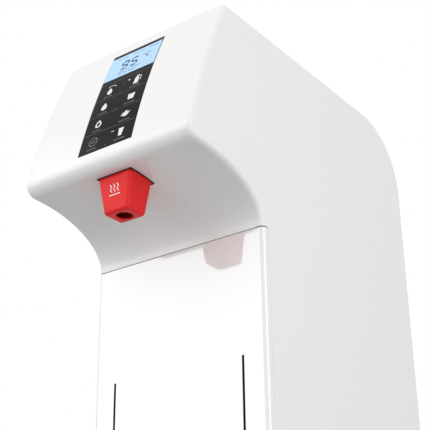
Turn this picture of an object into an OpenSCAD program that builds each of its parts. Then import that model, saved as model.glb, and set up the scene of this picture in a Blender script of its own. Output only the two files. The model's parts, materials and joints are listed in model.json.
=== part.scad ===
// Countertop instant hot-water dispenser: a tall column with an overhanging head,
// a square red outlet cap, a touch display, a height-adjustable cup shelf and a drip tray.
// +Z is up, the front faces -Y, and the origin is under the middle of the object.

/* [Body] */
// Width over the side covers
body_w = 230; // [190:1:280]
// Height above the table
body_h = 710; // [590:1:860]
// Depth of the column
column_d = 332; // [275:1:400]
// How far the head overhangs the column
head_reach = 124; // [105:1:150]
// Height of the head above its seam with the column
head_h = 245.5; // [205:0.5:295]
// Radius of the rear top corner
rear_corner_r = 87; // [60:1:100]
// Radius of the lip under the front face
lip_r = 14; // [10:1:18]
// Rise of the curved underside
under_rise = 54; // [45:1:62]
// Radius of the bulge of the front face
face_r = 960; // [850:10:1150]
// Backward lean of the front face just above the lip, in degrees
face_lean = 14; // [11:0.5:16]
// Wall thickness of covers and panels
wall = 2.5; // [2:0.1:3]
// Width of the side covers' turned-in rims
rim_w = 8; // [6:0.5:10]
// How far the splash panel wraps round onto the sides
wrap_d = 10; // [8:0.5:12]

/* [Base and tray] */
// Height of the rubber feet
foot_h = 12; // [9:0.5:15]
// Diameter of the feet
foot_d = 24; // [18:1:28]
// Height of the base moulding
base_h = 46; // [40:1:56]
// Thickness of the base moulding
base_t = 3; // [2.5:0.1:3.5]
// Thickness of the tray's drawer front
tray_front_t = 12; // [10:0.5:15]
// Wall thickness of the drip tray
tray_t = 2; // [1.6:0.1:2.5]
// Depth of the grid below the tray's rim
grid_drop = 3; // [2:0.5:5]
// Thickness of the drip grid
grid_t = 2; // [1.5:0.1:2.4]

/* [Cup shelf] */
// Width of the two slots in the splash panel
slot_w = 2.5; // [2.2:0.1:3]
// Distance of the slots from the sides
slot_inset = 29.5; // [28:0.5:32]
// Distance of the slots' top below the seam
slot_drop = 134.5; // [110:0.5:160]
// Height of the slots' bottom above the base
slot_rise = 52; // [45:1:62]
// Thickness of the shelf's sheet
shelf_t = 1.8; // [1.5:0.1:1.9]
// Reach of the shelf in front of the splash panel
shelf_reach = 104; // [85:1:110]
// Height of the shelf's side arms
shelf_arm_h = 26; // [22:1:31]

/* [Display] */
// Width of the touch panel
panel_w = 75; // [63:0.5:88]
// Distance of the panel's lower edge above the lip's underside
panel_rise = 23.5; // [22:0.5:28]
// Distance of the panel's upper edge below the top
panel_drop = 16; // [14:0.5:20]
// Height of the display's glass, along the face
lcd_h = 46; // [39:0.5:54]

/* [Outlet] */
// Width of the outlet cap at its top
cap_w = 46; // [38.5:0.5:52]
// Depth of the outlet cap at its top
cap_d = 37; // [33:0.5:42]
// Width of the outlet cap at its bottom
cap_low_w = 34; // [29:0.5:39]
// Depth of the outlet cap at its bottom
cap_low_d = 29; // [25:0.5:32]
// Height of the cap's bottom above the seam
cap_rise = 11.5; // [8:0.5:14]
// Distance of the cap's middle in front of the column
cap_reach = 87; // [80:1:90]
// Diameter of the hole in the cap's bottom
cap_hole_d = 18; // [15:0.5:21]
// Diameter of the outlet tube
spout_d = 12; // [10:0.5:13]

/* [Boiler] */
// Outer diameter of the tank
tank_d = 140; // [117:1:146]
// Height of the tank
tank_h = 250; // [210:1:300]
// Sheet thickness of the tank
tank_t = 1.2; // [1:0.1:1.5]
// Thickness of the insulation
insulation_t = 10; // [8:0.5:12]
// Height of the stand below the tank
stand_h = 45; // [44:1:54]
// Diameter of the heating element's tube
element_d = 8; // [6.5:0.5:9.5]
// Outer diameter of the hoses
hose_d = 12; // [10:0.5:13]
// Bore of the hoses
hose_bore = 8; // [6.5:0.5:8.5]

/* [Rear] */
// How far the water fittings stand out of the back
rear_reach = 22; // [18:1:26]
// Radius of the inlet's G3/4 thread
inlet_r = 13.2; // [11:0.1:15.8]
// Width of the mains inlet's body
socket_w = 32; // [27:0.5:38]
// Height of the mains inlet's body
socket_h = 25; // [21:0.5:30]

/* [Hidden] */
$fn = 64;

gap = 0.3;                // fitting gap between neighbouring covers
eps = 0.01;               // overcut, so that cuts pass clean through
total_d = head_reach + column_d + rear_reach;
y_lip = -total_d / 2;     // foremost line of the head
y_col = y_lip + head_reach;
y_back = y_col + column_d;
half_w = body_w / 2;
inner_w = body_w - 2 * rim_w - 2 * gap;   // width of the panels between the rims
z_seam = body_h - head_h;
z_base = foot_h + base_h;                 // top of the base moulding
z_floor = foot_h + base_t;                // inner floor of the base
under_a = head_reach - lip_r;             // half axis of the underside's quarter ellipse
lip_c = [y_lip + lip_r, z_seam + under_rise + lip_r];
face_c = lip_c - (face_r - lip_r) * [-cos(face_lean), sin(face_lean)];
y_base = y_lip + 4;                       // front of the tray, just behind the lip
z_split = body_h - rear_corner_r;         // joint of the top cover and the rear panel

// Outline of the body in the Y-Z plane, at a depth t below its surface.
function on_ring(c, r, b) = c + r * [-cos(b), sin(b)];
function under_pts(t, n = 24) = [for (i = [0:n])
    let (f = 90 * i / n, d = [cos(f) / under_a, sin(f) / under_rise])
    [y_col - under_a + under_a * cos(f), z_seam + under_rise * sin(f)] + t * d / norm(d)];
function lip_pts(t, n = 10) = [for (i = [1:n])
    on_ring(lip_c, lip_r - t, -90 + (face_lean + 90) * i / n)];
function face_angle(z, t) = asin((z - face_c[1]) / (face_r - t));
function face_pts(z0, z1, t, n = 12) = [for (i = [0:n])
    let (b0 = face_angle(z0, t), b1 = face_angle(z1, t))
    on_ring(face_c, face_r - t, b0 + (b1 - b0) * i / n)];
function face_y(z, t) = on_ring(face_c, face_r - t, face_angle(z, t))[0];
function rear_pts(t, n = 16) = [for (i = [0:n])
    [y_back - rear_corner_r, z_split] + (rear_corner_r - t) * [sin(90 * i / n), cos(90 * i / n)]];
function reversed(p) = [for (i = [len(p) - 1:-1:0]) p[i]];
z_face0 = lip_c[1] + lip_r * sin(face_lean);
function head_pts(t) = concat(under_pts(t), lip_pts(t),
    face_pts(z_face0 - t * sin(face_lean), body_h - t, t));
function body_outline(t) = concat([[y_col + t, z_base + t]], head_pts(t), rear_pts(t),
    [[y_back - t, z_base + t]]);

// Shapes that several parts share.
module across(w) {                        // extrudes a Y-Z outline along X, centred
    rotate([90, 0, 90])
        linear_extrude(w, center = true) children();
}
module tube(r_out, r_in, h) {
    linear_extrude(h) difference() {
        circle(r_out);
        circle(r_in);
    }
}
module along_y() { rotate([-90, 0, 0]) children(); }      // turns +Z to +Y
module frame_at(p, a, b) {                // local X along a, local Y along b
    c = cross(a, b);
    multmatrix([[a[0], b[0], c[0], p[0]], [a[1], b[1], c[1], p[1]], [a[2], b[2], c[2], p[2]]])
        children();
}
function unit(v) = v / norm(v);
function side_of(v) = abs(v[2]) > 0.5 ? [1, 0, 0] : cross([0, 0, 1], v);
module hose(path, r_out, r_in, bend) {    // a tube along a right-angled path
    last = len(path) - 1;
    for (i = [0:last - 1]) {
        d = unit(path[i + 1] - path[i]);
        p0 = path[i] + (i > 0 ? bend * d : [0, 0, 0]);
        p1 = path[i + 1] - (i < last - 1 ? bend * d : [0, 0, 0]);
        u = side_of(d);
        frame_at(p0, u, cross(d, u)) tube(r_out, r_in, norm(p1 - p0));
    }
    for (i = [1:1:last - 1]) {
        d1 = unit(path[i] - path[i - 1]);
        d2 = unit(path[i + 1] - path[i]);
        frame_at(path[i] + bend * (d2 - d1), -d2, d1)
            rotate_extrude(angle = 90) translate([bend, 0]) difference() {
                circle(r_out);
                circle(r_in);
            }
    }
}
module slot_row(count, pitch, len, w, t) {  // slots along X, stacked along Y
    for (i = [0:count - 1])
        translate([-len / 2, (i - (count - 1) / 2) * pitch - w / 2, -eps]) cube([len, w, t + 2 * eps]);
}
function round_rect(w, d, r, n = 8) = [for (c = [[1, 1, 0], [-1, 1, 90], [-1, -1, 180], [1, -1, 270]],
    i = [0:n]) [c[0] * (w / 2 - r), c[1] * (d / 2 - r)] + r * [cos(c[2] + 90 * i / n), sin(c[2] + 90 * i / n)]];
module on_face(z, t) {                    // local Z out of the face, local Y up along it
    b = face_angle(z, t);
    translate([0, face_y(z, t), z]) rotate([90 - b, 0, 0]) children();
}

// Base moulding: a floor, side and rear walls, and a cross wall under the column's front.
foot_x = half_w - 25;
y_tray_bed = y_base + tray_front_t + gap;
foot_ys = [y_base + tray_front_t + 25, y_back - 30];
drain_x = 30;
drain_z = foot_h + 26;
drain_r = 9;
module foot_places() {
    for (x = [-foot_x, foot_x], y = foot_ys) translate([x, y, 0]) children();
}
screw_r = 2;
module base_pan() color("white") difference() {
    union() {
        translate([-half_w, y_col, foot_h]) cube([body_w, column_d, base_t]);
        for (x = [-half_w, half_w - base_t])
            translate([x, y_col, foot_h]) cube([base_t, column_d, base_h]);
        for (y = [y_col, y_back - base_t]) translate([-half_w, y, foot_h]) cube([body_w, base_t, base_h]);
    }
    foot_places() translate([0, 0, foot_h - 1]) cylinder(r = screw_r + 0.1, h = base_t + 2);
    translate([drain_x, y_back - base_t - 1, drain_z]) along_y() cylinder(r = drain_r + gap, h = base_t + 2);
    for (x = [-1, 1]) translate([x * half_w / 2, (y_col + y_back) / 2 + 90, foot_h])
        slot_row(5, 8, 46, 3, base_t);
}
module tray_bed() color("white") difference() {      // open at the front and above; the tray slides on it
    translate([-half_w, y_tray_bed, foot_h]) cube([body_w, y_col - y_tray_bed, base_h]);
    translate([-half_w + base_t, y_tray_bed - 1, foot_h + base_t])
        cube([body_w - 2 * base_t, y_col - y_tray_bed + 2, base_h]);
    foot_places() translate([0, 0, foot_h - 1]) cylinder(r = screw_r + 0.1, h = base_t + 2);
}
foot_recess = 8;
module feet() color("dimgray") foot_places() difference() {
    rotate_extrude() polygon([[0, 0], [foot_d / 2 - 2, 0], [foot_d / 2, 3], [foot_d / 2, foot_h], [0, foot_h]]);
    translate([0, 0, -1]) cylinder(r = 4.5, h = foot_recess + 1 + eps);
    cylinder(r = screw_r + 0.2, h = foot_h + 1);
}
module foot_screws() foot_places() translate([0, 0, foot_recess - 2.6]) {
    cylinder(r = 3.8, h = 2.6);
    cylinder(r = screw_r, h = foot_h + base_t - foot_recess + 2.6);
}

// Covers.
module side_cover(side) {
    translate([side * (half_w - wall / 2), 0, 0]) across(wall) polygon(body_outline(0));
    translate([side * (half_w - rim_w / 2 - wall / 2), 0, 0]) across(rim_w - wall) difference() {
        polygon(body_outline(0));
        polygon(body_outline(wall));
        translate([y_col + wall, z_base - 1]) square([column_d - 2 * wall, wall + 2]);
    }
}
module splash_zone(margin) {              // what the splash panel's corners take from a side cover
    translate([-body_w, y_col - 1, z_base - 1])
        cube([2 * body_w, wrap_d + 1 + margin, z_seam - z_base + 1 - margin]);
}
module left_side_cover() color("white") difference() {
    side_cover(-1);
    splash_zone(gap);
}
module right_side_cover() color("white") difference() {
    side_cover(1);
    splash_zone(gap);
}

cap_y = y_col - cap_reach;
cap_t = 2;
cap_gap = 1;                              // thickness of the gasket
z_cap = z_seam + cap_rise;
cap_full_h = under_rise - cap_rise;       // to the level of the underside's crown
neck_w = cap_w - 2 * cap_t - 6;           // the bracket's neck, through the underside into the cap
neck_d = cap_d - 2 * cap_t - 5;
z_panel0 = z_seam + under_rise + panel_rise;
z_panel1 = body_h - panel_drop;
module front_fascia() color("white") difference() {
    across(inner_w) polygon(concat(under_pts(0), lip_pts(0), face_pts(z_face0, body_h, 0),
        reversed(face_pts(z_face0 - wall * sin(face_lean), body_h, wall)), reversed(lip_pts(wall)),
        reversed(under_pts(wall))));
    translate([-neck_w / 2 - gap, cap_y - neck_d / 2 - gap, z_seam])
        cube([neck_w + 2 * gap, neck_d + 2 * gap, under_rise + 20]);
    across(panel_w + 2 * gap) polygon(concat(face_pts(z_panel0 - gap, z_panel1 + gap, -1),
        reversed(face_pts(z_panel0 - gap, z_panel1 + gap, wall + 1))));
}
z_slot0 = z_base + slot_rise;
z_slot1 = z_seam - slot_drop;
slot_x = half_w - slot_inset;
module splash_panel() color("white") difference() {
    union() {
        translate([-half_w, y_col, z_base]) cube([body_w, wall, z_seam - z_base - 2 * gap]);
        for (x = [-half_w, half_w - wall])
            translate([x, y_col, z_base]) cube([wall, wrap_d, z_seam - z_base - 2 * gap]);
    }
    for (x = [-slot_x, slot_x])
        translate([x - slot_w / 2, y_col - 1, z_slot0]) cube([slot_w, wall + 2, z_slot1 - z_slot0]);
}
module top_cover() color("white") across(inner_w) {
    y0 = face_y(body_h, wall) + gap;
    polygon(concat([[y0, body_h]], rear_pts(0), reversed(rear_pts(wall)), [[y0, body_h - wall]]));
}

// Rear panel, with its openings.
inlet_x = -45;
inlet_z = z_base + 40;
vent_x = 45;
socket_x = 45;
socket_z = z_base + 70;
switch_w = 27;
switch_h = 21;
switch_z = socket_z + 55;
z_tank = z_floor + stand_h;
z_lid = z_tank + tank_h + 4;              // top of the lid
vent_z = z_lid + 60;
vent_r = 8;
vent_reach = 10;
hose_lap = 1;                             // ring of a hose's end face that meets the vent's tail
post_w = 14;                              // legs of the chassis posts
post_t = 1.5;
screw_x = half_w - base_t - post_w / 2 - 2;
rear_screw_zs = [z_base + 15, z_base + 0.5 * (z_split - z_base), z_split - 15];
module rear_screw_places() {
    for (x = [-screw_x, screw_x], z = rear_screw_zs) translate([x, y_back, z]) children();
}
reset_x = 82;
module rear_panel() color("white") difference() {
    translate([-inner_w / 2, y_back - wall, z_base]) cube([inner_w, wall, z_split - z_base - gap]);
    translate([0, y_back - wall - 1, 0]) {
        translate([inlet_x, 0, inlet_z]) along_y() cylinder(r = inlet_r + gap, h = wall + 2);
        translate([vent_x, 0, vent_z]) along_y() cylinder(r = vent_r + gap, h = wall + 2);
        translate([reset_x - 12, 0, socket_z]) along_y() cylinder(r = reset_r + gap, h = wall + 2);
        translate([socket_x - 13 - socket_w / 2 - gap, 0, socket_z - socket_h / 2 - gap])
            cube([socket_w + 2 * gap, wall + 2, socket_h + 2 * gap]);
        translate([socket_x - 13 - switch_w / 2 - gap, 0, switch_z - switch_h / 2 - gap])
            cube([switch_w + 2 * gap, wall + 2, switch_h + 2 * gap]);
    }
    rear_screw_places() translate([0, -wall - 1, 0]) along_y() cylinder(r = screw_r + 0.1, h = wall + 2);
    translate([-45, y_back, z_base + 160]) rotate([90, 0, 0]) slot_row(12, 8, 60, 3.5, wall);
}
module rear_screws() rear_screw_places() {
    along_y() cylinder(r = 3.8, h = 2.2);
    translate([0, -wall - post_t, 0]) along_y() cylinder(r = screw_r, h = wall + post_t + 1);
}
module case_screws() color("silver") {
    foot_screws();
    rear_screws();
}

// Chassis: four angle posts joined by rails at the top of the column.
z_frame = z_split - 10;
module post(sx, sy) {                     // an angle whose corner faces the column's corner
    x = sx * (half_w - base_t - 0.5);
    y = sy < 0 ? y_col + wall + 2 : y_back - wall;
    translate([min(x, x - sx * post_w), min(y, y - sy * post_t), z_base + 0.5])
        cube([post_w, post_t, z_frame - z_base - 0.5]);
    translate([min(x, x - sx * post_t), min(y, y - sy * post_w), z_floor])
        cube([post_t, post_w, z_frame - z_floor]);
}
module chassis_frame() color("silver") difference() {
    union() {
        for (sx = [-1, 1]) {
            for (sy = [-1, 1]) post(sx, sy);
            translate([sx * (half_w - base_t - 0.5 - post_t / 2) - post_t / 2, y_col + wall + 2,
            z_frame - post_w])
                cube([post_t, column_d - 2 * wall - 2, post_w]);
        }
        translate([-half_w + base_t + 0.5, y_back - wall - post_t, z_frame - post_w])
            cube([body_w - 2 * base_t - 1, post_t, post_w]);
    }
    rear_screw_places() translate([0, -wall - post_t - 1, 0]) along_y()
        cylinder(r = screw_r + 0.1, h = wall + 2);
    translate([-half_w, y_back - base_t - post_w - 1, foot_h]) cube([body_w, post_w + 1 + base_t, base_h]);
}

// Drip tray with its drawer front and lift-out grid.
tray_gap = 1;                             // free space round the tray
tray_w = body_w - 2 * base_t - 2 * tray_gap;
tray_y0 = y_base + tray_front_t;
tray_d = y_col - tray_gap - tray_y0;
z_tray = z_floor + 0.5;
ledge = 2;
module tray_box(z0, z1, inset) {
    translate([-tray_w / 2 + inset, tray_y0 + inset, z0])
        cube([tray_w - 2 * inset, tray_d - 2 * inset, z1 - z0]);
}
module drip_tray() color("dimgray") difference() {
    tray_box(z_tray, z_base, 0);
    tray_box(z_tray + tray_t, z_base + 1, tray_t + ledge);
    tray_box(z_base - grid_drop - grid_t, z_base + 1, tray_t);
}
front_r = 10;
module tray_front() color("white") translate([0, y_base + tray_front_t / 2, foot_h + 1])
    linear_extrude(z_base - foot_h - 1) difference() {
        translate([0, tray_front_t / 2]) polygon(round_rect(body_w, 2 * tray_front_t, front_r));
        translate([-body_w, tray_front_t / 2]) square([2 * body_w, 3 * tray_front_t]);
    }
grid_w = tray_w - 2 * tray_t - 1;
grid_d = tray_d - 2 * tray_t - 1;
grid_pitch = 9;
module drip_grid() color("silver")
    translate([0, tray_y0 + tray_d / 2, z_base - grid_drop - grid_t]) difference() {
        translate([-grid_w / 2, -grid_d / 2, 0]) cube([grid_w, grid_d, grid_t]);
        for (x = [-1, 1]) translate([x * grid_w / 4, 0, 0])
            slot_row(floor((grid_d - 16) / grid_pitch), grid_pitch, grid_w / 2 - 16, 4, grid_t);
        for (x = [-1, 1]) translate([x * (grid_w / 2 - 1), 0, -1]) cylinder(r = 9, h = grid_t + 2);
    }

// Cup shelf: a slotted plate on two arms, whose slides run in channels behind the slots.
channel_w = 14;
channel_d = 12;
channel_t = 1.2;
y_channel = y_col + wall + gap;
slide_gap = 0.4;
slide_t = 5;
z_shelf = z_slot0 + shelf_arm_h;          // top of the shelf at its lowest place
module shelf_channels() color("silver") for (x = [-slot_x, slot_x])
    translate([x, y_channel, z_slot0 - 8]) linear_extrude(z_slot1 - z_slot0 + 16) difference() {
        translate([-channel_w / 2, 0]) square([channel_w, channel_d]);
        translate([-channel_w / 2 + channel_t, channel_t])
            square([channel_w - 2 * channel_t, channel_d - 2 * channel_t]);
        translate([-slot_w / 2, -1]) square([slot_w, channel_t + 2]);
    }
y_shelf1 = y_col - 1;
module cup_shelf() color("silver") {
    y_tip = y_channel + channel_t + slide_gap;   // where an arm enters its slide
    difference() {
        translate([-slot_x - shelf_t / 2, y_shelf1 - shelf_reach, z_shelf - shelf_t])
            cube([2 * slot_x + shelf_t, shelf_reach, shelf_t]);
        translate([0, y_shelf1 - shelf_reach / 2, z_shelf - shelf_t])
            for (x = [-1, 1]) translate([x * slot_x / 2, 0, 0])
                slot_row(floor((shelf_reach - 24) / grid_pitch), grid_pitch, slot_x - 20, 4, shelf_t);
    }
    for (x = [-slot_x, slot_x]) translate([x, 0, 0]) across(shelf_t)
        polygon([[y_shelf1 - shelf_reach, z_shelf - 8], [y_shelf1 - shelf_reach, z_shelf], [y_tip, z_shelf],
            [y_tip, z_shelf - shelf_arm_h + 0.5], [y_col - 12, z_shelf - shelf_arm_h + 0.5]]);
    translate([-slot_x, y_shelf1 - shelf_reach, z_shelf - 8]) cube([2 * slot_x, shelf_t, 8]);
}
module shelf_slides() color("dimgray") for (x = [-slot_x, slot_x])
    translate([x - channel_w / 2 + channel_t + slide_gap, y_channel + channel_t + slide_gap,
            z_shelf - shelf_arm_h + 0.5])
        cube([channel_w - 2 * channel_t - 2 * slide_gap, slide_t, shelf_arm_h - 0.5]);

// Touch panel and what is behind it.
panel_proud = 0.3;
frame_t = 2;
z_frame_in = wall + 0.2;                  // depth of the display frame below the face
z_lcd0 = z_panel1 - lcd_h * cos(face_angle(z_panel1, 0)) ;
z_lcd_mid = (z_lcd0 + z_panel1) / 2 - 1;
z_keys_mid = (z_panel0 + z_lcd0) / 2;
keys_h = (z_lcd0 - z_panel0) / cos(face_angle(z_keys_mid, 0));
module touch_panel() color([0.09, 0.09, 0.09]) across(panel_w)
    polygon(concat(face_pts(z_panel0, z_panel1, -panel_proud), reversed(face_pts(z_panel0, z_panel1, wall))));
module face_plate(w, z0, z1, t0, t1) {
    across(w) polygon(concat(face_pts(z0, z1, t0), reversed(face_pts(z0, z1, t1))));
}
module display_frame() color("dimgray") difference() {
    face_plate(panel_w + 12, z_panel0 - 4, z_panel1 + 4, z_frame_in, z_frame_in + frame_t);
    face_plate(panel_w - 8, z_lcd0 + 3, z_panel1 - 3, z_frame_in - 1, z_frame_in + frame_t + 1);
    face_plate(panel_w - 8, z_panel0 + 3, z_lcd0 - 3, z_frame_in - 1, z_frame_in + frame_t + 1);
}
board_t = 1.6;
module lcd_module() color("lightskyblue") on_face(z_lcd_mid, z_frame_in + frame_t + 1 + 6)
    translate([-panel_w / 2 + 2, -lcd_h / 2 + 2.5, 0]) cube([panel_w - 4, lcd_h - 5, 6]);
module key_board() color("darkgreen") on_face(z_keys_mid, z_frame_in + frame_t + 3 + board_t)
    translate([-panel_w / 2 + 2, -keys_h / 2 + 2, 0]) difference() {
        cube([panel_w - 4, keys_h - 4, board_t]);
        for (x = [4, panel_w - 8], y = [4, keys_h - 8])
            translate([x, y, -1]) cylinder(r = 1.6, h = board_t + 2);
    }
panel_len = (z_panel1 - z_panel0) / cos(face_angle((z_panel0 + z_panel1) / 2, 0));
module display_board() color("green") on_face((z_panel0 + z_panel1) / 2, z_frame_in + frame_t + 13) {
    translate([-panel_w / 2, -panel_len / 2 + 12, -board_t]) cube([panel_w, panel_len - 14, board_t]);
    for (p = [[-14, -20, 12, 12], [10, -16, 9, 6], [-10, 22, 16, 8], [14, 30, 8, 8]])
        translate([p[0], p[1], -board_t - 1.6]) cube([p[2], p[3], 1.6]);
}

// Outlet: a tapered square cap, its gasket, the outlet tube and the bracket that holds them.
module cap_taper(grow, z0, h) {           // widths follow the cap's slope
    k = function (z) (z - z_cap) / cap_full_h;
    w = function (z) cap_low_w + (cap_w - cap_low_w) * k(z) + 2 * grow;
    d = function (z) cap_low_d + (cap_d - cap_low_d) * k(z) + 2 * grow;
    translate([0, cap_y, z0])
        linear_extrude(h, scale = [w(z0 + h) / w(z0), d(z0 + h) / d(z0)], slices = 1, $fn = 8)
        square([w(z0), d(z0)], center = true);
}
module under_region(t0, t1) {             // the layer between two depths in front of the underside
    across(body_w) polygon(concat(under_pts(-t0), reversed(under_pts(-t1))));
}
spout_r = spout_d / 2;
module outlet_cap() color([0.86, 0.06, 0.06]) {
    difference() {
        cap_taper(0, z_cap, cap_full_h);
        cap_taper(-cap_t, z_cap + cap_t, cap_full_h + 5);
        under_region(-30, cap_gap + 0.1);
        translate([0, cap_y, z_cap - 1]) cylinder(d = cap_hole_d, h = cap_t + 2);
    }
}
module cap_gasket() color([0.05, 0.05, 0.05]) intersection() {
    difference() {
        translate([-cap_w / 2 - 0.8, cap_y - cap_d / 2 - 0.8, z_cap])
            cube([cap_w + 1.6, cap_d + 1.6, under_rise]);
        translate([-neck_w / 2 - 0.05, cap_y - neck_d / 2 - 0.05, z_cap - 1])
            cube([neck_w + 0.1, neck_d + 0.1, under_rise + 5]);
    }
    under_region(0.05, cap_gap);
}
spout_bend = 22;
z_run = z_seam + under_rise + 50;         // height of the hose's run to the outlet
z_spout0 = z_cap + cap_t + 4;
bracket_w = 62;
bracket_t = 1.6;
bracket_z = z_seam + under_rise + wall + 0.2;
z_collar = bracket_z + 9.1;               // the tube's upper collar rests on the bracket's boss
z_spout1 = z_collar + 15;
module spout_tube() color("silver") translate([0, cap_y, 0]) {
    translate([0, 0, z_spout0]) tube(hose_bore / 2 - 0.2, hose_bore / 2 - 1.2, z_spout1 - z_spout0);
    translate([0, 0, z_spout0]) tube(spout_r, hose_bore / 2 - 0.2, 6);
    translate([0, 0, z_collar]) tube(spout_r, hose_bore / 2 - 0.2, 3);
}
module spout_bracket() color("dimgray") difference() {
    union() {
        translate([-bracket_w / 2, cap_y - neck_d / 2 - 6, bracket_z])
            cube([bracket_w, neck_d + 12, bracket_t]);
        translate([0, cap_y, bracket_z]) cylinder(r = spout_r + 2.5, h = 9);
        translate([-neck_w / 2, cap_y - neck_d / 2, bracket_z - 18]) cube([neck_w, neck_d, 18 + eps]);
    }
    translate([-neck_w / 2 + 1.6, cap_y - neck_d / 2 + 1.6, bracket_z - 19])
        cube([neck_w - 3.2, neck_d - 3.2, 19]);
    translate([0, cap_y, bracket_z - 2]) cylinder(r = spout_r + 0.1, h = 12);
}

// Boiler: a drawn tank on a stand, closed by a bolted lid that carries the element and probes.
tank_r = tank_d / 2;
flange_w = 10;
flange_t = 2;
y_tank = y_col + wall + gap + channel_d + 12 + insulation_t + tank_r;
module on_tank(z) { translate([0, y_tank, z]) children(); }
bolt_r = 2;
module bolt_places() {
    for (a = [0:45:315]) rotate(a + 22.5) translate([tank_r + flange_w / 2 + 1, 0, 0]) children();
}
stand_r = tank_r - 6;                     // outside of the stand's wall
module tank_stand() color("silver") on_tank(z_floor) difference() {
    union() {
        tube(stand_r, stand_r - 1.5, stand_h);
        for (z = [0, stand_h - 1.5]) translate([0, 0, z]) tube(stand_r + 5, stand_r - 8, 1.5);
    }
    for (a = [0, 90]) rotate(a) translate([-tank_r, -38, 6]) cube([tank_d, 76, stand_h - 13]);
}
z_suction = z_floor + 70;
suction_r = 6;
module tank_shell() color("gainsboro") on_tank(z_tank) difference() {
    union() {
        cylinder(r = tank_r, h = tank_h);
        translate([0, 0, tank_h - flange_t]) cylinder(r = tank_r + flange_w, h = flange_t);
        translate([0, 0, z_suction - z_tank]) along_y() cylinder(r = suction_r, h = tank_r + insulation_t + 8);
        translate([drain_x, 0, -9]) cylinder(r = suction_r, h = 10);
    }
    translate([0, 0, tank_t]) cylinder(r = tank_r - tank_t, h = tank_h);
    translate([0, 0, z_suction - z_tank]) along_y() cylinder(r = suction_r - 1, h = tank_r + insulation_t + 9);
    translate([drain_x, 0, -10]) cylinder(r = suction_r - 1, h = 20);
    translate([0, 0, tank_h - flange_t - 1]) bolt_places() cylinder(r = bolt_r + 0.2, h = flange_t + 2);
}
module tank_gasket() color("firebrick") on_tank(z_tank + tank_h) difference() {
    tube(tank_r + flange_w, tank_r - 2, 2);
    translate([0, 0, -1]) bolt_places() cylinder(r = bolt_r + 0.2, h = 4);
}
element_bend = 22;                        // half the spread of a loop's legs
element_xs = [-17, 17];
stem_inset = 23;                          // level stem and probe, in from the tank's wall
probe_inset = 25;
stem_at = [0, stem_inset - tank_r];
probe_at = [0, tank_r - probe_inset];
lid_stub_r = 5;
stub_h = 14;
module element_places() {
    for (x = element_xs, y = [-element_bend, element_bend]) translate([x, y, 0]) children();
}
module tank_lid() color("gainsboro") on_tank(z_lid - 2) difference() {
    union() {
        cylinder(r = tank_r + flange_w, h = 2);
        for (x = [inlet_x, vent_x]) translate([x, 0, 0]) cylinder(r = lid_stub_r - 1.05, h = 2 + stub_h);
    }
    for (x = [inlet_x, vent_x]) translate([x, 0, -1]) cylinder(r = lid_stub_r - 2, h = stub_h + 5);
    translate([0, 0, -1]) {
        bolt_places() cylinder(r = bolt_r + 0.2, h = 5);
        element_places() cylinder(r = element_d / 2 + 0.2, h = 5);
        translate(stem_at) cylinder(r = 4.2, h = 5);
        translate(probe_at) cylinder(r = 3.2, h = 5);
    }
}
module hex_nut(r, h, bore) {
    difference() {
        cylinder(r = r, h = h, $fn = 6);
        translate([0, 0, -1]) cylinder(r = bore, h = h + 2);
    }
}
module tank_bolts() color("silver") on_tank(z_lid) bolt_places() {
    cylinder(r = 4, h = 3, $fn = 6);
    translate([0, 0, -2 - 2 - flange_t - 5]) cylinder(r = bolt_r, h = 12);
    translate([0, 0, -2 - 2 - flange_t - 3]) hex_nut(3.8, 3, bolt_r);
}
module tank_insulation() color("khaki") on_tank(z_tank + 1) difference() {
    tube(tank_r + insulation_t, tank_r + gap, tank_h - flange_t - 8);
    translate([0, 0, z_suction - z_tank - 1]) along_y()
        cylinder(r = suction_r + 1, h = tank_r + insulation_t + 5);
}
loop_l = 190;
element_up = 22;
module heating_element() color("slategray") on_tank(z_lid) for (x = element_xs) translate([x, 0, 0]) {
    for (y = [-element_bend, element_bend]) translate([0, y, -loop_l]) {
        cylinder(d = element_d, h = loop_l + element_up);
        translate([0, 0, loop_l + element_up]) cylinder(r = 2, h = 8);
    }
    translate([0, 0, -loop_l]) rotate([90, 0, 90]) rotate([0, 0, 180])
        rotate_extrude(angle = 180) translate([element_bend, 0]) circle(d = element_d);
}
module element_nuts() color("goldenrod") on_tank(z_lid) element_places() hex_nut(9, 6, element_d / 2 + 0.1);
module temperature_probe() color("silver") on_tank(z_lid) translate(probe_at) {
    translate([0, 0, -130]) cylinder(r = 3, h = 132);
    cylinder(r = 8, h = 8, $fn = 6);
    translate([0, 0, 8]) cylinder(r = 4, h = 12);
}
float_travel = 20;
stem_l = 110;
module level_stem() color("silver") on_tank(z_lid) translate(stem_at) {
    translate([0, 0, -stem_l]) cylinder(r = 4, h = stem_l + 1);
    translate([0, 0, -stem_l - 2]) cylinder(r = 7, h = 2);
    translate([0, 0, -stem_l + 22 + float_travel + 0.4]) difference() {
        cylinder(r = 6.5, h = 1.5);
        translate([0, 0, -1]) cylinder(r = 4, h = 4);
    }
    cylinder(r = 8, h = 6, $fn = 6);
    translate([0, 0, 6]) cylinder(r = 4, h = 8);
}
module level_float() color("whitesmoke") on_tank(z_lid - stem_l) translate(stem_at)
    translate([0, 0, 0.2]) rotate_extrude()
        polygon([[4.5, 0], [11, 0], [13, 3], [13, 18], [11, 21.6], [4.5, 21.6]]);

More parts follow.
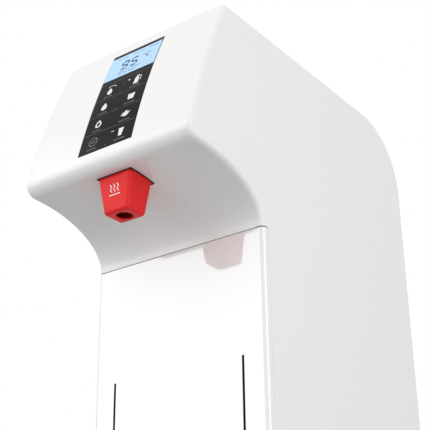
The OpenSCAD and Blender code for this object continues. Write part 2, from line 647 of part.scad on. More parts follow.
// Overheat cut-out: a disc thermostat on the rear panel, with its reset button outside.
reset_r = 4;
module at_reset() { translate([reset_x - 12, y_back, socket_z]) children(); }
module overheat_cutout() color("saddlebrown") at_reset() difference() {
    union() {
        translate([0, -wall - 14, 0]) along_y() cylinder(r = 9, h = 14 - gap);
        translate([0, -wall - gap - 0.5, 0]) along_y() cylinder(r = reset_r, h = wall + gap + 1.5);
        for (x = [-4, 4]) translate([x - 1.5, -wall - 22, -3]) cube([3, 8.5, 6]);
    }
    translate([0, -wall - 8, 0]) along_y() cylinder(r = 2.1, h = wall + 12);
}
module reset_button() color("red") at_reset() translate([0, -wall - 5, 0]) along_y()
    cylinder(r = 2, h = wall + 8.5);

// Water inlet: fitting, solenoid valve with its coil and plunger, and flow meter.
valve_l = 36;
valve_w = 26;
y_valve0 = y_back - wall - 6 - valve_l;   // front of the valve's body
// A water fitting through the rear panel: a thinner throat, a shoulder outside, and the tail.
nut_h = 6;
shoulder_t = 1.6;
shoulder_w = 2.5;
throat_step = 0.2;
module rear_stub(r, reach) translate([0, y_back, 0]) along_y() {
    translate([0, 0, -wall - nut_h + 0.05]) cylinder(r = r - throat_step, h = nut_h + wall + shoulder_t);
    translate([0, 0, gap]) cylinder(r = r + shoulder_w, h = shoulder_t);
    translate([0, 0, gap]) cylinder(r = r, h = reach - gap);
}
module inlet_fitting() color("goldenrod") difference() {
    translate([inlet_x, 0, inlet_z]) {
        translate([0, y_back - wall - nut_h + 0.05, 0]) along_y()
            cylinder(r = inlet_r + 3, h = nut_h - 0.1, $fn = 6);
        rear_stub(inlet_r, rear_reach);
    }
    translate([inlet_x, y_back - wall - 7, inlet_z]) along_y() cylinder(r = 8, h = 20 + wall + rear_reach);
}
plunger_r = 4;
y_coil = y_valve0 + valve_l / 2;
z_coil = inlet_z + valve_w / 2;
coil_h = 34;
module inlet_valve() color("ivory") difference() {
    union() {
        translate([inlet_x - valve_w / 2, y_valve0, inlet_z - valve_w / 2]) cube([valve_w, valve_l, valve_w]);
        translate([inlet_x, y_coil, z_coil - 1]) cylinder(r = plunger_r + 1.5, h = coil_h + 1);
    }
    translate([inlet_x, y_valve0 - 1, inlet_z]) along_y() cylinder(r = 5, h = valve_l + 2);
    translate([inlet_x, y_coil, inlet_z]) cylinder(r = plunger_r + 0.1, h = valve_w / 2 + coil_h - 1.5);
}
module valve_coil() color("black") translate([inlet_x, y_coil, z_coil + 0.2]) {
    tube(16, plunger_r + 1.7, coil_h - 2);
    translate([-6, 15.5, 4]) cube([12, 8, 14]);
}
module valve_plunger() color("silver") translate([inlet_x, y_coil, inlet_z + 5.2])
    cylinder(r = plunger_r, h = 18);
module plunger_spring() color("gray") translate([inlet_x, y_coil, inlet_z + 5.2 + 18 + 0.1])
    tube(2.6, 1.9, valve_w / 2 + coil_h - 1.5 - 5.2 - 18 - 0.3);
meter_r = 20;
meter_h = 20;
y_meter = y_valve0 - meter_r - 1;
z_meter = inlet_z - meter_h / 2;
module at_meter(z) { translate([inlet_x, y_meter, z]) children(); }
module flow_meter() color("whitesmoke") difference() {
    union() {
        at_meter(z_meter) cylinder(r = meter_r, h = meter_h);
        at_meter(z_meter + meter_h - 1) cylinder(r = hose_bore / 2 - 0.05, h = 13);
        translate([inlet_x, y_meter + 10, inlet_z]) along_y()
            cylinder(r = 5.5, h = y_valve0 - y_meter - 10 - 0.05);
    }
    at_meter(z_meter + 2) cylinder(r = meter_r - 2, h = meter_h - 4);
    at_meter(z_meter + meter_h - 3) cylinder(r = hose_bore / 2 - 1.2, h = 20);
    translate([inlet_x, y_meter + 10, inlet_z]) along_y() cylinder(r = 4, h = 50);
}
module flow_rotor() color("orange") at_meter(z_meter + 2.5) {
    cylinder(r = 4, h = meter_h - 5);
    for (a = [0:60:300]) rotate(a) translate([0, -0.8, 2]) cube([meter_r - 4, 1.6, meter_h - 9]);
}

// Hot-water pump: the impeller's shaft runs into the motor behind it.
y_pump = y_tank + tank_r + insulation_t + 18;     // front of the pump's casing
pump_r = 24;
pump_l = 22;
motor_r = 18;
motor_l = 38;
shaft_r = 2.5;
module at_pump(y) { translate([0, y, z_suction]) along_y() children(); }
module pump_body() color("darkslategray") difference() {
    union() {
        at_pump(y_pump) cylinder(r = pump_r, h = pump_l);
        at_pump(y_pump - 8) cylinder(r = suction_r, h = 9);
        translate([0, y_pump + pump_l / 2, z_suction]) cylinder(r = hose_bore / 2 - 0.05, h = pump_r + 12);
        translate([-pump_r + 4, y_pump + 2, z_floor])
            cube([2 * pump_r - 8, pump_l - 4, z_suction - z_floor - pump_r + 8]);
    }
    at_pump(y_pump + 3) cylinder(r = pump_r - 4, h = pump_l - 6);
    at_pump(y_pump - 9) cylinder(r = suction_r - 1.2, h = 13);
    translate([0, y_pump + pump_l / 2, z_suction]) cylinder(r = hose_bore / 2 - 1.2, h = pump_r + 13);
    at_pump(y_pump + pump_l - 4) cylinder(r = shaft_r + 0.05, h = 5);
}
module pump_motor() color("silver") difference() {
    union() {
        at_pump(y_pump + pump_l + 0.1) cylinder(r = motor_r, h = motor_l);
        for (x = [-6, 6]) translate([x - 2, y_pump + pump_l + motor_l, z_suction - 3]) cube([4, 5, 6]);
    }
    at_pump(y_pump + pump_l) cylinder(r = shaft_r + 0.05, h = motor_l - 6);
}
module pump_impeller() color("orange") {
    at_pump(y_pump + 6) cylinder(r = shaft_r, h = pump_l + motor_l - 16);
    at_pump(y_pump + 12) cylinder(r = pump_r - 6, h = 2);
    for (a = [0:60:300]) at_pump(y_pump + 6) rotate(a) translate([2, -0.8, 0]) cube([pump_r - 9, 1.6, 6.5]);
}

// Hoses and the drain.
module suction_hose() color("lightgray") at_pump(y_pump - 9.9) tube(suction_r + 2, suction_r + 0.05, 9.8);
module dispense_hose() color("lightgray") hose([
    [0, y_pump + pump_l / 2, z_suction + pump_r + 1.5], [0, y_pump + pump_l / 2, z_run],
    [0, cap_y, z_run], [0, cap_y, z_collar + 3.1]], hose_d / 2, hose_bore / 2, spout_bend);
z_feed = z_lid + 44;
module inlet_hose() color("lightgray") hose([
    [inlet_x, y_meter, z_meter + meter_h + 0.3], [inlet_x, y_meter, z_feed],
    [inlet_x, y_tank, z_feed], [inlet_x, y_tank, z_lid + 0.5]], hose_d / 2, hose_bore / 2, spout_bend);
module vent_hose() color("lightgray") {
    hose([[vent_x, y_tank, z_lid + 0.5], [vent_x, y_tank, vent_z], [vent_x, y_back - wall - 6, vent_z]],
        hose_d / 2, hose_bore / 2, spout_bend);
    difference() {
        translate([vent_x, 0, vent_z]) {
            translate([0, y_back - wall - nut_h + 0.05, 0]) along_y() cylinder(r = vent_r + 4, h = nut_h - gap);
            rear_stub(vent_r, vent_reach);
        }
        translate([vent_x, y_back - wall - nut_h - 1, vent_z]) along_y()
            cylinder(r = hose_d / 2 - hose_lap, h = nut_h + wall + vent_reach + 2);
    }
}
drain_l = 34;
y_drain = y_back - drain_l;               // front of the drain valve's body
lever_y = y_back + rear_reach - 10;
module drain_pipe() color("silver") hose([[drain_x, y_tank, z_tank - 9.1], [drain_x, y_tank, drain_z],
    [drain_x, y_drain - 0.1, drain_z]], suction_r, suction_r - 1, 12);
lever_r = 2.5;
drain_bore_r = 4.8;
module drain_valve() color("goldenrod") translate([drain_x, y_drain, drain_z]) difference() {
    union() {
        along_y() cylinder(r = drain_r, h = drain_l + rear_reach);
        translate([0, drain_l + 0.3, 0]) along_y() cylinder(r = drain_r + 2, h = 4, $fn = 6);
        translate([0, lever_y - y_drain, 0]) cylinder(r = 5, h = drain_r + 3);
    }
    translate([0, -1, 0]) along_y() cylinder(r = drain_bore_r, h = drain_l + rear_reach + 2);
    translate([0, lever_y - y_drain, 0]) cylinder(r = lever_r + 0.05, h = drain_r + 4);
}
module drain_lever() color("red") translate([drain_x, lever_y, drain_z]) {
    translate([0, 0, drain_r - 2]) cylinder(r = lever_r, h = 7);
    translate([0, 0, drain_r + 3.2]) linear_extrude(2) {
        circle(5.5);
        translate([0, -4]) square([34, 8]);
        translate([34, 0]) circle(4);
    }
}

// Mains inlet and rocker switch.
socket_depth = 26;
socket_at = [socket_x - 13, y_back, socket_z];
module mains_inlet() color([0.07, 0.07, 0.07]) translate(socket_at) difference() {
    union() {
        translate([-socket_w / 2, -wall - socket_depth, -socket_h / 2])
            cube([socket_w, socket_depth + wall + 1, socket_h]);
        translate([-socket_w / 2 - 5, 0.05, -socket_h / 2 - 3]) cube([socket_w + 10, 2.5, socket_h + 6]);
        for (x = [-9, 0, 9]) translate([x - 1.5, -wall - socket_depth - 7, -3]) cube([3, 7.5, 6]);
    }
    translate([-socket_w / 2 + 3, -16, -socket_h / 2 + 3]) cube([socket_w - 6, 20, socket_h - 6]);
}
rocker_r = 1.5;
switch_at = [socket_x - 13, y_back, switch_z];
module power_switch() color([0.07, 0.07, 0.07]) translate(switch_at) difference() {
    union() {
        translate([-switch_w / 2, -wall - 18, -switch_h / 2]) cube([switch_w, 18 + wall + 1, switch_h]);
        translate([-switch_w / 2 - 2, 0.05, -switch_h / 2 - 2]) cube([switch_w + 4, 2, switch_h + 4]);
        for (x = [-8, 8]) translate([x - 1.5, -wall - 25, -3]) cube([3, 7.5, 6]);
    }
    translate([-switch_w / 2 + 2, -14, -switch_h / 2 + 2]) cube([switch_w - 4, 20, switch_h - 4]);
    translate([-switch_w / 2 + 1, -4, 0]) rotate([0, 90, 0]) cylinder(r = rocker_r + 0.05, h = switch_w - 2);
}
rocker_tilt = 10;
module power_rocker() color("firebrick") translate([switch_at[0], switch_at[1] - 4, switch_at[2]]) {
    rotate([0, 90, 0]) cylinder(r = rocker_r, h = switch_w - 2.6, center = true);
    rotate([rocker_tilt, 0, 0]) translate([-switch_w / 2 + 2.5, -2.5, -switch_h / 2 + 3.4])
        cube([switch_w - 5, 7.5, switch_h - 6.8]);
}

// Control board on standoffs inside the rear panel.
board_w = 130;
board_h = 90;
standoff_l = 12;
z_board = z_seam - 30;
y_board = y_back - wall - post_t - standoff_l;
module board_corners() {
    for (x = [-board_w / 2 + 6, board_w / 2 - 6], z = [6, board_h - 6])
        translate([x, 0, z_board + z]) children();
}
module control_board() color("darkgreen") {
    translate([-board_w / 2, y_board - board_t, z_board]) cube([board_w, board_t, board_h]);
    translate([0, y_board, 0]) board_corners() along_y() cylinder(r = 3, h = standoff_l + post_t);
    translate([-55, y_board - board_t - 15, z_board + 20]) for (i = [0:5])
        translate([0, 0, i * 6]) cube([30, 15, 2]);
    translate([-55, y_board - board_t - 2, z_board + 20]) cube([30, 2, 32]);
    for (x = [0, 22]) translate([x, y_board - board_t - 15, z_board + 14]) cube([18, 15, 20]);
    translate([8, y_board - board_t - 18, z_board + 50]) cube([34, 18, 28]);
    for (x = [-40:10:-10]) translate([x, y_board - board_t - 9, z_board + 64]) cube([8, 9, 12]);
    translate([54, y_board - board_t, z_board + 30]) rotate([90, 0, 0]) cylinder(r = 6, h = 18);
}

base_pan();
tray_bed();
feet();
left_side_cover();
right_side_cover();
front_fascia();
splash_panel();
top_cover();
rear_panel();
case_screws();
chassis_frame();
drip_tray();
tray_front();
drip_grid();
shelf_channels();
cup_shelf();
shelf_slides();
touch_panel();
display_frame();
lcd_module();
key_board();
display_board();
outlet_cap();
cap_gasket();
spout_tube();
spout_bracket();
tank_stand();
tank_shell();
tank_gasket();
tank_lid();
tank_bolts();
tank_insulation();
heating_element();
element_nuts();
temperature_probe();
level_stem();
level_float();
overheat_cutout();
reset_button();
inlet_fitting();
inlet_valve();
valve_coil();
valve_plunger();
plunger_spring();
flow_meter();
flow_rotor();
pump_body();
pump_motor();
pump_impeller();
suction_hose();
dispense_hose();
inlet_hose();
vent_hose();
drain_pipe();
drain_valve();
drain_lever();
mains_inlet();
power_switch();
power_rocker();
control_board();
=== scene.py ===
"""Finish of a countertop hot-water dispenser: its smooth covers, touch display, outlet cap, tray and
shelf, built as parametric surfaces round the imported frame, with a plain studio stage."""

import json
import math

import bmesh
import bpy
import numpy as np
from bpy.props import FloatProperty, FloatVectorProperty, IntProperty, PointerProperty
from mathutils import Matrix, Vector

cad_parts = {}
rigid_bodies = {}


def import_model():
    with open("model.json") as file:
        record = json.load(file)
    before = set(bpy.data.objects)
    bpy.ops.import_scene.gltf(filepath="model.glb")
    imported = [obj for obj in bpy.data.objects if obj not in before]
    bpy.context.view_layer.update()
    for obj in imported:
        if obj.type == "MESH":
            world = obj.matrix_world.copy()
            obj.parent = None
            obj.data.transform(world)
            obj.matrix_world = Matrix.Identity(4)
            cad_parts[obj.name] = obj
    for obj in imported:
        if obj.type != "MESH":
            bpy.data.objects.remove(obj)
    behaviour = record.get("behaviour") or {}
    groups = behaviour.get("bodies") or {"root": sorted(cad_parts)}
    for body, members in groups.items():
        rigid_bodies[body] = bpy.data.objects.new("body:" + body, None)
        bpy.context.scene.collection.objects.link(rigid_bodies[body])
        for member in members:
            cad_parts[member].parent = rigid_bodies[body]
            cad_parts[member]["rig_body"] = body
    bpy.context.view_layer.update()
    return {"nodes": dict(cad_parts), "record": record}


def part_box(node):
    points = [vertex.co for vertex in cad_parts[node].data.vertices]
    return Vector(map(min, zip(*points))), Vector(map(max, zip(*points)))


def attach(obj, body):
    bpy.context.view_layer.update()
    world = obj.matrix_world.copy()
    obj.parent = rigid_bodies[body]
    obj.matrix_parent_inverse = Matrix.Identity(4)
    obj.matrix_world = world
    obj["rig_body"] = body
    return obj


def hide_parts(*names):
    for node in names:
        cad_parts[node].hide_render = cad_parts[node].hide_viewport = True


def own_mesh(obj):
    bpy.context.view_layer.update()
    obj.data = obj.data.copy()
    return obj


bl_info = {
    "name": "Hot-water dispenser finish",
    "version": (1, 0, 0),
    "blender": (4, 5, 0),
    "location": "View3D > Sidebar > Dispenser",
    "description": "Builds the covers, display, outlet cap, tray and shelf of a hot-water dispenser",
    "category": "Object",
}

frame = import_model()
MM = 0.001

# Driving places, all read from the frame.
COVER_LOW, COVER_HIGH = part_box("right_side_cover")
SPLASH_LOW, SPLASH_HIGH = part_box("splash_panel")
FASCIA_LOW, FASCIA_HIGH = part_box("front_fascia")
GLASS_LOW, GLASS_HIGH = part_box("touch_panel")
CAP_LOW, CAP_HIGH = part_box("outlet_cap")
HALF_W = COVER_HIGH.x                      # half of the body's width
Y_LIP, Y_BACK = COVER_LOW.y, COVER_HIGH.y  # foremost and rearmost lines of the body
Y_COL = SPLASH_LOW.y                       # front of the column
Z_BASE, Z_TOP = COVER_LOW.z, COVER_HIGH.z
Z_SEAM = FASCIA_LOW.z                      # joint of the head and the column
WRAP = SPLASH_HIGH.y - SPLASH_LOW.y        # how far the splash panel wraps onto the sides
PANEL_HALF = FASCIA_HIGH.x                 # half width of the panels between the side covers
FIT = 0.03 * MM                            # gap between covers that meet without a visible joint
SEAM_RISE = 0.6 * MM                       # how far the head's lower edge stands above the seam
TOP_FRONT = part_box("top_cover")[0].y + 6 * MM   # where the top cover meets the rounded front edge
CHANNEL_HALF = 7 * MM                      # half width of a shelf channel
CHANNEL_OVERLAP = 8 * MM                   # how far the channels reach past the slots' ends
CAP_SIZE = (46 * MM, 37 * MM)              # width and depth of the outlet cap at the underside's crown
CAP_LOW_SIZE = (34 * MM, 29 * MM)          # width and depth at its bottom
CAP_HOLE = 18 * MM                         # hole in the cap's floor
CAP_DROP = 1.15 * MM                       # gap between the cap's upper edge and the underside
RIM_ROUNDING = 0.12 * MM                   # rounding of the cut edges of the covers
HOLE_GAP = 0.25 * MM                       # gap round the glass in its opening
GLASS_PROUD = 0.25 * MM                    # how far the glass stands out of the front face
GLASS_THICKNESS = 2 * MM
DISPLAY_LIFT = 0.03 * MM                   # the lit display above the glass
MARK_LIFT = 0.06 * MM                      # printed marks above the glass
SLOT_SHADE_WALL = 0.3 * MM                     # wall of the near-black frames painted as shade on the slots' walls
SLOT_SHADE_SINK = 0.15 * MM                    # how far they lie behind the panel's face
SLOT_SHADE_BACK = 2.6 * MM                     # how far they reach behind it
PRINT_LIFT = 0.05 * MM                     # the mark above the cap's front


# ---------------------------------------------------------------- properties

class DispenserShape(bpy.types.PropertyGroup):
    """Sizes of the smooth covers."""
    lip_radius: FloatProperty(
        name="Lip radius", description="Radius of the lip under the front face",
        default=14 * MM, unit="LENGTH")
    under_rise: FloatProperty(
        name="Underside rise", description="Height of the curved underside",
        default=54 * MM, unit="LENGTH")
    face_radius: FloatProperty(
        name="Face radius", description="Radius of the bulge of the front face",
        default=960 * MM, unit="LENGTH")
    face_lean: FloatProperty(
        name="Face lean", description="Backward lean of the front face above the lip",
        default=math.radians(14), subtype="ANGLE")
    rear_radius: FloatProperty(
        name="Rear corner radius", description="Radius of the rear top corner",
        default=87 * MM, unit="LENGTH")
    edge_radius: FloatProperty(
        name="Edge radius", description="Radius of the rounded edges between the front and the sides",
        default=5.8 * MM, unit="LENGTH")
    sheet: FloatProperty(
        name="Cover thickness", description="Wall thickness of the covers",
        default=2.2 * MM, unit="LENGTH")
    slot_width: FloatProperty(
        name="Slot width", description="Width of the two shelf slots",
        default=2.5 * MM, unit="LENGTH")


class DispenserDisplay(bpy.types.PropertyGroup):
    """Layout of the touch panel, measured down from its upper edge."""
    top_strip: FloatProperty(
        name="Top strip", description="Black strip above the display",
        default=6 * MM, unit="LENGTH")
    lcd_length: FloatProperty(
        name="Display length", description="Length of the lit display along the face",
        default=41.2 * MM, unit="LENGTH")
    row_start: FloatProperty(
        name="First row", description="Distance of the first key row from the panel's upper edge",
        default=54.5 * MM, unit="LENGTH")
    row_pitch: FloatProperty(
        name="Row pitch", description="Distance between key rows",
        default=26.4 * MM, unit="LENGTH")
    column: FloatProperty(
        name="Key column", description="Distance of the key columns from the middle",
        default=19.3 * MM, unit="LENGTH")
    temperature: IntProperty(
        name="Temperature", description="Number shown on the display", default=95, min=0, max=99)


class DispenserColours(bpy.types.PropertyGroup):
    """Colours of the visible finishes."""
    casing: FloatVectorProperty(
        name="Casing", description="Colour of the white covers", subtype="COLOR",
        default=(0.90, 0.90, 0.895))
    cap: FloatVectorProperty(
        name="Outlet cap", description="Colour of the outlet cap", subtype="COLOR",
        default=(0.90, 0.028, 0.03))
    glass: FloatVectorProperty(
        name="Touch panel", description="Colour of the touch panel", subtype="COLOR",
        default=(0.007, 0.007, 0.0075))
    lcd: FloatVectorProperty(
        name="Display", description="Colour of the lit display", subtype="COLOR",
        default=(0.42, 0.66, 0.93))


# ---------------------------------------------------------------- materials

def new_material(name, colour, roughness, metallic=0.0, **sockets):
    """A Principled material; further sockets are given by name with _ for spaces."""
    mat = bpy.data.materials.new(name)
    mat.use_nodes = True
    shader = mat.node_tree.nodes["Principled BSDF"]
    shader.inputs["Base Color"].default_value = (*colour, 1)
    shader.inputs["Roughness"].default_value = roughness
    shader.inputs["Metallic"].default_value = metallic
    for key, value in sockets.items():
        shader.inputs[key.replace("_", " ")].default_value = value
    return mat, mat.node_tree, shader


def object_noise(tree, scale, detail, stretch=(1, 1, 1)):
    """A noise texture on Object coordinates, in cycles per metre, stretched along an axis."""
    coords = tree.nodes.new("ShaderNodeTexCoord")
    mapping = tree.nodes.new("ShaderNodeMapping")
    mapping.inputs["Scale"].default_value = stretch
    noise = tree.nodes.new("ShaderNodeTexNoise")
    noise.inputs["Scale"].default_value = scale
    noise.inputs["Detail"].default_value = detail
    tree.links.new(coords.outputs["Object"], mapping.inputs["Vector"])
    tree.links.new(mapping.outputs["Vector"], noise.inputs["Vector"])
    return noise


def vary(tree, shader, noise, socket, low, high):
    """Lets the noise drive one scalar socket between low and high."""
    ramp = tree.nodes.new("ShaderNodeMapRange")
    ramp.inputs["From Min"].default_value = 0.3
    ramp.inputs["From Max"].default_value = 0.7
    ramp.inputs["To Min"].default_value = low
    ramp.inputs["To Max"].default_value = high
    tree.links.new(noise.outputs["Fac"], ramp.inputs["Value"])
    tree.links.new(ramp.outputs["Result"], shader.inputs[socket])


def tint(tree, shader, noise, colour, other):
    """Mixes two close colours by the noise into the base colour."""
    mix = tree.nodes.new("ShaderNodeMix")
    mix.data_type = "RGBA"
    mix.inputs["A"].default_value = (*colour, 1)
    mix.inputs["B"].default_value = (*other, 1)
    tree.links.new(noise.outputs["Fac"], mix.inputs["Factor"])
    tree.links.new(mix.outputs["Result"], shader.inputs["Base Color"])


def bump(tree, shader, noise, strength, distance):
    """Relief of the given depth in metres from the noise."""
    node = tree.nodes.new("ShaderNodeBump")
    node.inputs["Strength"].default_value = strength
    node.inputs["Distance"].default_value = distance
    tree.links.new(noise.outputs["Fac"], node.inputs["Height"])
    tree.links.new(node.outputs["Normal"], shader.inputs["Normal"])


def moulded(name, colour, roughness, grain=0.00003, grain_scale=900, shade=0.94, **sockets):
    """Moulded plastic: a fine grain in relief, and slight drifts of gloss and shade."""
    mat, tree, shader = new_material(name, colour, roughness, **sockets)
    fine = object_noise(tree, grain_scale, 3)
    broad = object_noise(tree, 9, 2)
    vary(tree, shader, broad, "Roughness", roughness * 0.88, roughness * 1.12)
    tint(tree, shader, broad, colour, [c * shade for c in colour])
    bump(tree, shader, fine, 0.25, grain)
    return mat


def brushed(name, colour, roughness, stretch=(1, 60, 60)):
    """Brushed metal: long scratches across one direction, in relief and in gloss."""
    mat, tree, shader = new_material(name, colour, roughness, 1.0)
    scratches = object_noise(tree, 40, 8, stretch)
    vary(tree, shader, scratches, "Roughness", roughness * 0.75, roughness * 1.35)
    tint(tree, shader, scratches, colour, [c * 0.86 for c in colour])
    bump(tree, shader, scratches, 0.2, 0.00004)
    return mat


def glowing(name, colour, strength):
    """A lit display: an even glow with a faint cloud of unevenness."""
    mat, tree, shader = new_material(name, [c * 0.15 for c in colour], 0.18)
    shader.inputs["Emission Strength"].default_value = strength
    cloud = object_noise(tree, 14, 1)
    mix = tree.nodes.new("ShaderNodeMix")
    mix.data_type = "RGBA"
    mix.inputs["A"].default_value = (*colour, 1)
    mix.inputs["B"].default_value = (*[c * 0.93 for c in colour], 1)
    tree.links.new(cloud.outputs["Fac"], mix.inputs["Factor"])
    tree.links.new(mix.outputs["Result"], shader.inputs["Emission Color"])
    return mat


def board(name, colour):
    """A circuit board: solder mask with fine copper tracks as a brick pattern under it."""
    mat, tree, shader = new_material(name, colour, 0.35)
    coords = tree.nodes.new("ShaderNodeTexCoord")
    brick = tree.nodes.new("ShaderNodeTexBrick")
    brick.inputs["Scale"].default_value = 160
    brick.inputs["Mortar Size"].default_value = 0.06
    brick.inputs["Color1"].default_value = (*colour, 1)
    brick.inputs["Color2"].default_value = (*[c * 0.8 for c in colour], 1)
    brick.inputs["Mortar"].default_value = (*[min(1, c * 2.2 + 0.03) for c in colour], 1)
    tree.links.new(coords.outputs["Object"], brick.inputs["Vector"])
    tree.links.new(brick.outputs["Color"], shader.inputs["Base Color"])
    return mat


MATERIALS = {}


def add(maker, name, *args, **sockets):
    """Makes one finish and keeps it by name."""
    MATERIALS[name] = maker(name, *args, **sockets)


def make_materials():
    """Makes every finish once, by the record's slot names and a few extra ones."""
    c = bpy.context.scene.dispenser_colours
    white = tuple(c.casing)
    add(moulded, "casing_white", white, 0.26, 0.000004, 700, 0.997)
    add(moulded, "splash_white", white, 0.05, 0.000001, 500, 0.99,
        Coat_Weight=0.5, Coat_Roughness=0.03, IOR=2.1)
    add(moulded, "panel_black", tuple(c.glass), 0.22, 0.000001, 400, 0.9, Specular_IOR_Level=0.08)
    add(glowing, "lcd_blue", tuple(c.lcd), 0.92)
    add(moulded, "cap_red", tuple(c.cap), 0.34, 0.000006, 800, 0.93, Specular_IOR_Level=0.14)
    add(moulded, "plastic_red", (0.62, 0.03, 0.025), 0.35)
    add(moulded, "seal_black", (0.012, 0.012, 0.012), 0.6)
    add(moulded, "seal_red", (0.36, 0.05, 0.03), 0.55)
    add(moulded, "foot_rubber", (0.022, 0.022, 0.023), 0.75, 0.00008, 1400, 0.8)
    add(moulded, "hose_silicone", (0.68, 0.68, 0.65), 0.4, Subsurface_Weight=0.3)
    add(brushed, "steel", (0.62, 0.62, 0.61), 0.30)
    add(brushed, "steel_drawn", (0.68, 0.68, 0.67), 0.22, (60, 60, 1))
    add(brushed, "screw_steel", (0.72, 0.72, 0.73), 0.24, (30, 30, 30))
    add(brushed, "element_metal", (0.30, 0.29, 0.28), 0.42, (30, 30, 1))
    add(brushed, "brass", (0.78, 0.56, 0.24), 0.26, (4, 80, 4))
    add(moulded, "plastic_black", (0.018, 0.018, 0.019), 0.42, 0.00005, 1500, 0.85)
    add(moulded, "plastic_grey", (0.075, 0.077, 0.08), 0.45, 0.00006, 1500, 0.88)
    add(moulded, "plastic_ivory", (0.72, 0.68, 0.55), 0.4)
    add(moulded, "plastic_orange", (0.72, 0.16, 0.02), 0.38)
    add(board, "pcb_green", (0.012, 0.10, 0.04))
    add(moulded, "insulation", (0.62, 0.56, 0.42), 0.95, 0.0009, 260, 0.7)
    add(moulded, "bakelite", (0.09, 0.03, 0.012), 0.3)
    add(moulded, "print_white", (0.86, 0.86, 0.86), 0.4)
    add(moulded, "print_faint", (0.30, 0.30, 0.305), 0.4)
    add(moulded, "print_grey", (0.16, 0.16, 0.165), 0.4)
    add(moulded, "print_dark", (0.01, 0.02, 0.035), 0.4)
    add(moulded, "shadow", (0.01, 0.01, 0.01), 0.7)
    add(moulded, "stage_pale", (0.4, 0.4, 0.4), 0.8, 0.0001, 60, 0.99)


# ---------------------------------------------------------------- surfaces

def grid_faces(rows, columns, offset):
    """Quads of a grid whose point (i, j) has number offset + i * columns + j."""
    i = np.arange(rows - 1)[:, None] * columns
    j = np.arange(columns - 1)[None, :]
    a = (i + j).ravel() + offset
    return np.stack([a, a + 1, a + columns + 1, a + columns], 1)


def build(name, patches, material, body="casing", weld=1e-6, outward=None):
    """One mesh from grids of points (rows, columns, 3), welded where they meet.

    A patch is (points, smooth). outward = (point, direction): the face nearest that point is
    made to look along that direction, and the rest follow it.
    """
    verts, faces, smooth = [], [], []
    count = 0
    for points, is_smooth in patches:
        points = np.asarray(points, float)
        rows, columns = points.shape[:2]
        quads = grid_faces(rows, columns, count)
        verts.append(points.reshape(-1, 3))
        faces.append(quads)
        smooth += [is_smooth] * len(quads)
        count += rows * columns
    mesh = bpy.data.meshes.new(name)
    mesh.from_pydata(np.concatenate(verts).tolist(), [], np.concatenate(faces).tolist())
    mesh.polygons.foreach_set("use_smooth", smooth)
    mesh.materials.append(MATERIALS[material])
    work = bmesh.new()
    work.from_mesh(mesh)
    bmesh.ops.remove_doubles(work, verts=work.verts, dist=weld)
    bmesh.ops.dissolve_degenerate(work, edges=work.edges, dist=weld * 0.5)
    bmesh.ops.recalc_face_normals(work, faces=work.faces)
    if outward:
        point, direction = Vector(outward[0]), Vector(outward[1])
        nearest = min(work.faces, key=lambda f: (f.calc_center_median() - point).length)
        if nearest.normal.dot(direction) < 0:
            bmesh.ops.reverse_faces(work, faces=work.faces)
    work.to_mesh(mesh)
    work.free()
    piece = bpy.data.objects.new(name, mesh)
    bpy.context.scene.collection.objects.link(piece)
    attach(piece, body)
    return piece


def thicken(piece, thickness):
    """Gives an open skin a wall on its inner side."""
    wall = piece.modifiers.new("wall", "SOLIDIFY")
    wall.thickness = thickness
    wall.offset = -1
    return piece


def round_edges(piece, radius, segments=2):
    """Rounds every edge sharper than 40 degrees."""
    edge = piece.modifiers.new("edges", "BEVEL")
    edge.width = radius
    edge.segments = segments
    edge.limit_method = "ANGLE"
    edge.angle_limit = math.radians(40)
    edge.harden_normals = True
    return piece


def finish(piece, slot, *nodes):
    """Hides the CAD nodes that a piece stands for; the slot argument is not used."""
    if nodes:
        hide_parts(*nodes)
    return piece


def arc(centre, radius, start, end, count):
    """Points and outward normals on a circle in the Y-Z plane; angle 0 is -Y and 90 is +Z."""
    a = np.linspace(start, end, count)
    normal = np.stack([-np.cos(a), np.sin(a)], 1)
    return np.asarray(centre) + radius * normal, normal


def straight(start, end, normal, count):
    """Evenly spaced points on a line in the Y-Z plane, with one normal."""
    t = np.linspace(0, 1, count)[:, None]
    return np.asarray(start) * (1 - t) + np.asarray(end) * t, np.tile(np.asarray(normal, float), (count, 1))


def joined(*stretches):
    """One profile from stretches of (points, normals), leaving out repeated joints."""
    points = [stretches[0][0]] + [s[0][1:] for s in stretches[1:]]
    normals = [stretches[0][1]] + [s[1][1:] for s in stretches[1:]]
    return np.concatenate(points), np.concatenate(normals)


def under_curve(count=40):
    """The underside: a quarter ellipse from the column's front to the lip's lowest point.

    y = Y_COL - a (1 - cos f), z = Z_SEAM + rise + b sin f, and the normal points into the hollow.
    """
    shape = bpy.context.scene.dispenser_shape
    a = Y_COL - Y_LIP - shape.lip_radius
    b = shape.under_rise - SEAM_RISE
    f = np.linspace(0, math.pi / 2, count)
    points = np.stack([Y_COL - a + a * np.cos(f), Z_SEAM + SEAM_RISE + b * np.sin(f)], 1)
    inward = np.stack([np.cos(f) / a, np.sin(f) / b], 1)
    return points, -inward / np.linalg.norm(inward, axis=1, keepdims=True)


def lip_centre():
    """Centre of the lip's arc, in the Y-Z plane."""
    shape = bpy.context.scene.dispenser_shape
    return np.array([Y_LIP + shape.lip_radius, Z_SEAM + shape.under_rise + shape.lip_radius])


def face_centre():
    """Centre of the arc of the front face, in the Y-Z plane."""
    shape = bpy.context.scene.dispenser_shape
    lean = shape.face_lean
    return lip_centre() + (shape.face_radius - shape.lip_radius) * np.array([math.cos(lean), -math.sin(lean)])


def face_angle(z, depth=0.0):
    """Angle on the front face's circle at a height, at a depth below the surface."""
    shape = bpy.context.scene.dispenser_shape
    return math.asin((z - face_centre()[1]) / (shape.face_radius - depth))


def lip_curve(count=14):
    """The lip: an arc from the underside to the front face."""
    shape = bpy.context.scene.dispenser_shape
    return arc(lip_centre(), shape.lip_radius, -math.pi / 2, shape.face_lean, count)


